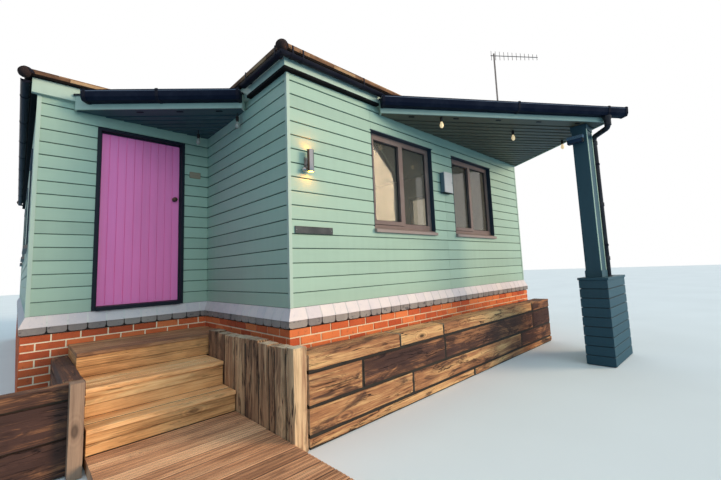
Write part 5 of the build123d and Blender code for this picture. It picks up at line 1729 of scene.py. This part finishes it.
@dataclass(frozen=True)
class Sleepers:
    """Rough sleeper walls before the garden front and beside the steps."""

    face: float = -0.450
    start: float = -0.134
    end: float = 4.700
    side_face: float = -0.259
    side_back: float = -0.1343
    left_x: float = -1.3303
    left_front: float = 0.545
    thick: float = 0.13
    flat: float = 0.25
    flat_tall: float = 0.141
    upright_tall: float = 0.760

    def front(self) -> None:
        """Three courses on edge under one laid flat."""
        shape = Shape("front_sleeper_wall")
        level = 0.0
        courses = (
            (0.092, (2.23,), (0.85, 0.65)), (0.211, (1.093, 3.56), (0.78, 0.38, 0.15)),
            (0.252, (0.434, 1.66, 4.013), (0.46, -0.18, 0.0, -0.2)),
            (self.flat_tall, (0.928, 1.65, 4.013), (0.65, 0.98, 0.72, 0.12)))
        for height, joints, tones in courses:
            deep, gap = (self.flat, 0.004) if height == self.flat_tall else (self.thick, 0.008)
            ends = (self.start, *joints, self.end)
            for a, b, tone in zip(ends, ends[1:], tones):
                out = shape.luck.uniform(0, 0.008)
                shape.rough((a + 0.008, self.face + out, level + 0.006),
                            (b - 0.008, self.face + deep, level + height - gap), EAST, 0.008, tone=tone, ends=1)
            level += height
        shape.block((self.start + 0.02, self.face + 0.019, 0.0), (self.end - 0.02, self.face + 0.11, level - 0.03),
                    mark=2)
        shape.build([SLEEPER, UPRIGHT_END, SHADOW_WOOD], "sleeper", ("front_sleepers",), smooth=50)

    def uprights(self) -> None:
        """Upright half sleepers beside the steps."""
        shape = Shape("upright_sleepers")
        joints = (-0.454, -0.322, -0.152, -0.061, 0.119, 0.371, 0.588, 0.814, 1.002, 1.236)
        tones = (0.98, 0.62, 0.40, 0.70, 0.35, 0.78, 0.55, 0.30, 0.08)
        for i, (a, b) in enumerate(zip(joints, joints[1:])):
            top = self.upright_tall - 0.018 * abs(sin(2.4 * i))
            lean = shape.luck.uniform(0, 0.008) if i else 0
            shape.rough((self.side_face + lean, a + (0.007 if i else 0.003), 0), (self.side_back, b - 0.007, top), UP,
                        0.007, 0.035, tone=tones[i], ends=1)
        shape.block((self.side_face + 0.019, joints[0] + 0.03, 0), (self.side_back - 0.03, joints[-1] - 0.03, 0.70),
                    mark=2)
        shape.build([UPRIGHT, UPRIGHT_END, SHADOW_WOOD], "sleeper", ("side_sleepers",), smooth=50)

    def left(self) -> None:
        """Sleepers that hold the bed left of the steps, and the post at their end."""
        shape = Shape("left_sleeper_wall")
        level = 0.0
        back = self.left_front + self.thick
        for height, tone in ((0.25, -0.2), (0.25, -0.05), (0.11, -0.1)):
            top = level + height - 0.003
            shape.rough((self.left_x - 1.25, self.left_front, level), (self.left_x, back - 0.001, top), EAST, 0.007,
                        tone=tone, ends=1)
            shape.rough((self.left_x - 0.13, back + 0.001, level), (self.left_x, 1.9397, top), NORTH, 0.007,
                        tone=tone, ends=1)
            level += height
        shape.block((self.left_x - 1.2, self.left_front + 0.03, 0), (self.left_x - 0.03, back - 0.03, 0.58), mark=2)
        shape.block((self.left_x - 0.10, back - 0.04, 0), (self.left_x - 0.03, 1.90, 0.58), mark=2)
        shape.build([SLEEPER, UPRIGHT_END, SHADOW_WOOD], "sleeper", ("left_sleepers",), smooth=50)
        low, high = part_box("left_post")
        post = Shape("bed_post")
        post.rough(tuple(low), tuple(high), UP, 0.002, 0.03)
        post.build([POST_WOOD], "sleeper", ("left_post",), smooth=50)

    def build(self) -> None:
        """All sleepers."""
        self.front()
        self.uprights()
        self.left()


@dataclass(frozen=True)
class Steps:
    """Boarded steps, landing and deck."""

    left: float = -1.330
    right: float = -0.2593
    nosing: float = 0.014
    tread: float = 0.034
    chamfer: float = 0.003
    risers: int = 2
    tread_gap: float = 0.0144
    deck_gap: float = 0.0112
    deck_top: float = 0.095
    deck_thick: float = 0.028
    deck_front: float = -1.2
    deck_back: float = 0.5347
    deck_board: float = 0.1445

    def flight(self, name: str, y0: float, y1: float, foot: float, top: float, right: float, treads: int,
               tops: int = 2) -> None:
        """One step: riser boards before a core, under tread boards with a nosing.

        Args:
            name: the node it replaces.
            y0: front of its riser.
            y1: back.
            foot: where its riser starts to show.
            top: top of its tread.
            right: its right end.
            treads: number of tread boards.
            tops: number of the finish of the treads.
        """
        shape = Shape(f"{name}_boards")
        under = top - self.tread
        shape.block((self.left + 0.012, y0 + 0.020, 0), (right - 0.004, y1, under - 0.002), mark=1)
        front = y0 - self.nosing
        wide = (y1 - front) / treads
        for i in range(treads):
            drop = shape.luck.uniform(0, 0.0015)
            shape.block((self.left, front + i * wide, under - drop),
                        (right - 0.001, front + (i + 1) * wide - self.tread_gap * (i < treads - 1), top - drop),
                        self.chamfer, mark=tops, tone=0.3 + 0.6 * shape.luck.random())
            if i:
                shape.block((self.left + 0.002, front + i * wide - self.tread_gap, under),
                            (right - 0.003, front + i * wide, top - 0.003), mark=1)
        tall = (under - foot) / self.risers
        for i in range(self.risers):
            sunk = shape.luck.uniform(0, 0.003)
            shape.block((self.left + 0.002, y0 + sunk, foot + i * tall + 0.001),
                        (right - 0.002, y0 + 0.022, foot + (i + 1) * tall - 0.003), 0.002,
                        tone=0.5 * shape.luck.random())
        shape.block((self.left + 0.001, y0 + 0.02, 0), (self.left + 0.02, y1 - 0.001, under - 0.002), 0.003,
                    along=NORTH)
        shape.build([STEP_WOOD, SHADOW_WOOD, TREAD_LIT_WOOD, LANDING_SHADE_WOOD], "step_timber", (name,))

    def deck(self) -> None:
        """Deck boards on a dark frame, with a board along each open edge."""
        shape = Shape("deck_boards")
        under = self.deck_top - self.deck_thick - 0.001
        shape.block((self.left + 0.03, self.deck_front + 0.03, 0), (self.right - 0.03, self.deck_back - 0.01, under),
                    mark=1)
        y = self.deck_front
        while y < self.deck_back - 0.02:
            end = min(y + self.deck_board, self.deck_back)
            drop = shape.luck.uniform(0, 0.0015)
            self.reeded(shape, y, end - self.deck_gap, drop)
            shape.block((self.left + 0.002, end - self.deck_gap, under),
                        (self.right - 0.003, end, self.deck_top - 0.004), mark=1)
            y += self.deck_board
        for x in (self.left + 0.002, self.right - 0.024):
            shape.block((x, self.deck_front + 0.004, 0), (x + 0.022, self.deck_back - 0.002, under), 0.003,
                        along=NORTH)
        shape.block((self.left + 0.004, self.deck_front + 0.004, 0),
                    (self.right - 0.004, self.deck_front + 0.026, under), 0.003)
        shape.build([DECK_WOOD, SHADOW_WOOD], "step_timber", ("step_deck",))

    def reeded(self, shape: Shape, y0: float, y1: float, drop: float) -> None:
        """One deck board, with shallow reeds along its top.

        Args:
            shape: what it is added to.
            y0: its front.
            y1: its back.
            drop: how far it lies below the others.
        """
        top, c = self.deck_top - drop, 0.002
        line = [(y0, top - self.deck_thick), (y0, top - c), (y0 + c, top)]
        for share in (0.16, 0.24, 0.46, 0.54, 0.76, 0.84):
            y = y0 + (y1 - y0) * share
            line += [(y - 0.0045, top), (y - 0.002, top - 0.007), (y + 0.002, top - 0.007), (y + 0.0045, top)]
            shape.block((self.left + 0.002, y - 0.003, top - 0.008), (self.right - 0.003, y + 0.003, top - 0.0022),
                        mark=1)
        line += [(y1 - c, top), (y1, top - c), (y1, top - self.deck_thick)]
        shape.bar(line, (self.left, self.right - 0.001))

    def build(self) -> None:
        """The two steps, the landing and the deck."""
        # The two steps' treads take the paler tread wood, which is painted light.
        self.flight("low_step", 0.535, 0.8147, self.deck_top, 0.276, self.right, 2)
        self.flight("middle_step", 0.815, 1.2647, 0.276, 0.491, self.right, 3)
        # The landing's treads take the darker landing wood, which is painted shade.
        self.flight("door_landing", 1.265, 1.940, 0.491, 0.701, -0.0303, 5, 3)
        self.deck()


@dataclass(frozen=True)
class Studio:
    """Pale floor, soft light and the camera at the photograph's viewpoint."""

    eye: Point = (-1.722, -2.829, 1.317)
    yaw: float = radians(45.29)
    pitch: float = radians(6.06)
    roll: float = radians(2.45)
    lens: float = 18.06
    shift: Span = (-0.0196, -0.0136)
    sky: float = 0.31
    sky_tint: Colour = (0.41, 0.90, 1.25)
    sun: float = 3.05
    fill: float = 1.0
    front: float = 1.12
    floor_colour: Colour = (0.29, 0.47, 0.64)
    reach: float = 60.0

    def camera(self) -> None:
        """The photograph's viewpoint."""
        y, p, c, s = self.yaw, self.pitch, cos(self.roll), sin(self.roll)
        ahead = Vector((cos(p) * cos(y), cos(p) * sin(y), sin(p)))
        right = Vector((sin(y), -cos(y), 0))
        down = ahead.cross(right)
        data = bpy.data.cameras.new("camera")
        data.lens, data.sensor_width = self.lens, 36.0
        data.shift_x, data.shift_y = self.shift
        data.clip_end = 200
        item = added("camera", data)
        matrix = Matrix((right * c + down * s, right * s - down * c, -ahead)).transposed().to_4x4()
        matrix.translation = self.eye
        item.matrix_world = matrix
        bpy.context.scene.camera = item

    def lamp(self, name: str, towards: Point, energy: float, size: float, colour: Colour) -> None:
        """A soft sun lamp.

        Args:
            name: its name.
            towards: the direction its light travels.
            energy: its strength.
            size: its apparent size in degrees.
            colour: its colour.
        """
        data = bpy.data.lights.new(name, "SUN")
        data.energy, data.angle, data.color = energy, radians(size), colour
        item = added(name, data)
        item.rotation_euler = Vector(towards).to_track_quat("-Z", "Y").to_euler()
        item.visible_glossy = False

    def world(self) -> None:
        """Even sky light, which the camera, gloss and glass see as white."""
        world = bpy.data.worlds.new("studio")
        bpy.context.scene.world = world
        world.use_nodes = True
        tree = Tree(world.node_tree)
        camera, gloss, glass = (tree.node("ShaderNodeLightPath", out=f"Is {ray} Ray")
                                for ray in ("Camera", "Glossy", "Transmission"))
        seen = tree.math("MAXIMUM", camera, tree.math("MAXIMUM", gloss, glass))
        soft = tree.node("ShaderNodeBackground", {}, {0: self.sky_tint, 1: self.sky})
        white = tree.node("ShaderNodeBackground", {}, {0: (1, 1, 1), 1: 1.0})
        blend = tree.node("ShaderNodeMixShader", {}, {0: seen, 1: soft, 2: white})
        tree.plug(world.node_tree.nodes["World Output"].inputs[0], blend)

    def floor(self) -> None:
        """A wide pale floor just under the lodge, which throws a cool soft light back."""
        shader = Shader("floor_pale")
        cloud = shader.noise(shader.place(), 0.6, detail=2)
        pale = shader.ramp(cloud, (0.3, (0.86, 0.86, 0.86)), (0.7, (0.9, 0.9, 0.9)))
        seen = shader.node("ShaderNodeLightPath", out="Is Camera Ray")
        shader.dress({"Base Color": shader.mix(seen, self.floor_colour, pale), "Roughness": 0.9})
        mesh = bpy.data.meshes.new("studio_floor")
        corners = [(x * self.reach, y * self.reach, -0.002) for x, y in ((-1, -1), (1, -1), (1, 1), (-1, 1))]
        mesh.from_pydata(corners, [], [(0, 1, 2, 3)])
        mesh.materials.append(shader.material)
        added("studio_floor", mesh)

    def build(self) -> None:
        """Floor, lights, world and camera."""
        self.floor()
        self.world()
        for lamp in (("key", (-0.60, 0.74, -0.22), self.sun, 24, (1.0, 0.81, 0.58)),
                     ("front", (0.0, 0.97, -0.22), self.front, 50, (0.75, 0.95, 1.0)),
                     ("fill", (0.0, 0.0, -1.0), self.fill, 120, (1.0, 0.98, 0.96))):
            self.lamp(*lamp)
        self.camera()
        bpy.context.scene.view_settings.view_transform = "Standard"


def main() -> None:
    """Dress the lodge piece by piece."""
    logging.basicConfig(level=logging.INFO, format="%(name)s: %(message)s")
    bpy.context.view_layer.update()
    pieces = [Cladding(), Plinth(), Roof(), Gutters(), *canopies(), Post(), Windows(), Doorway(), Fittings(),
              Sleepers(), Steps()]
    for piece in pieces:
        piece.build()
        LOG.info("%s done", type(piece).__name__)
    keep("floor", FLOOR_WOOD, Grain.Y, 0.002)
    Studio().build()
    bpy.context.view_layer.update()
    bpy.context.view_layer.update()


if __name__ == "__main__":
    main()
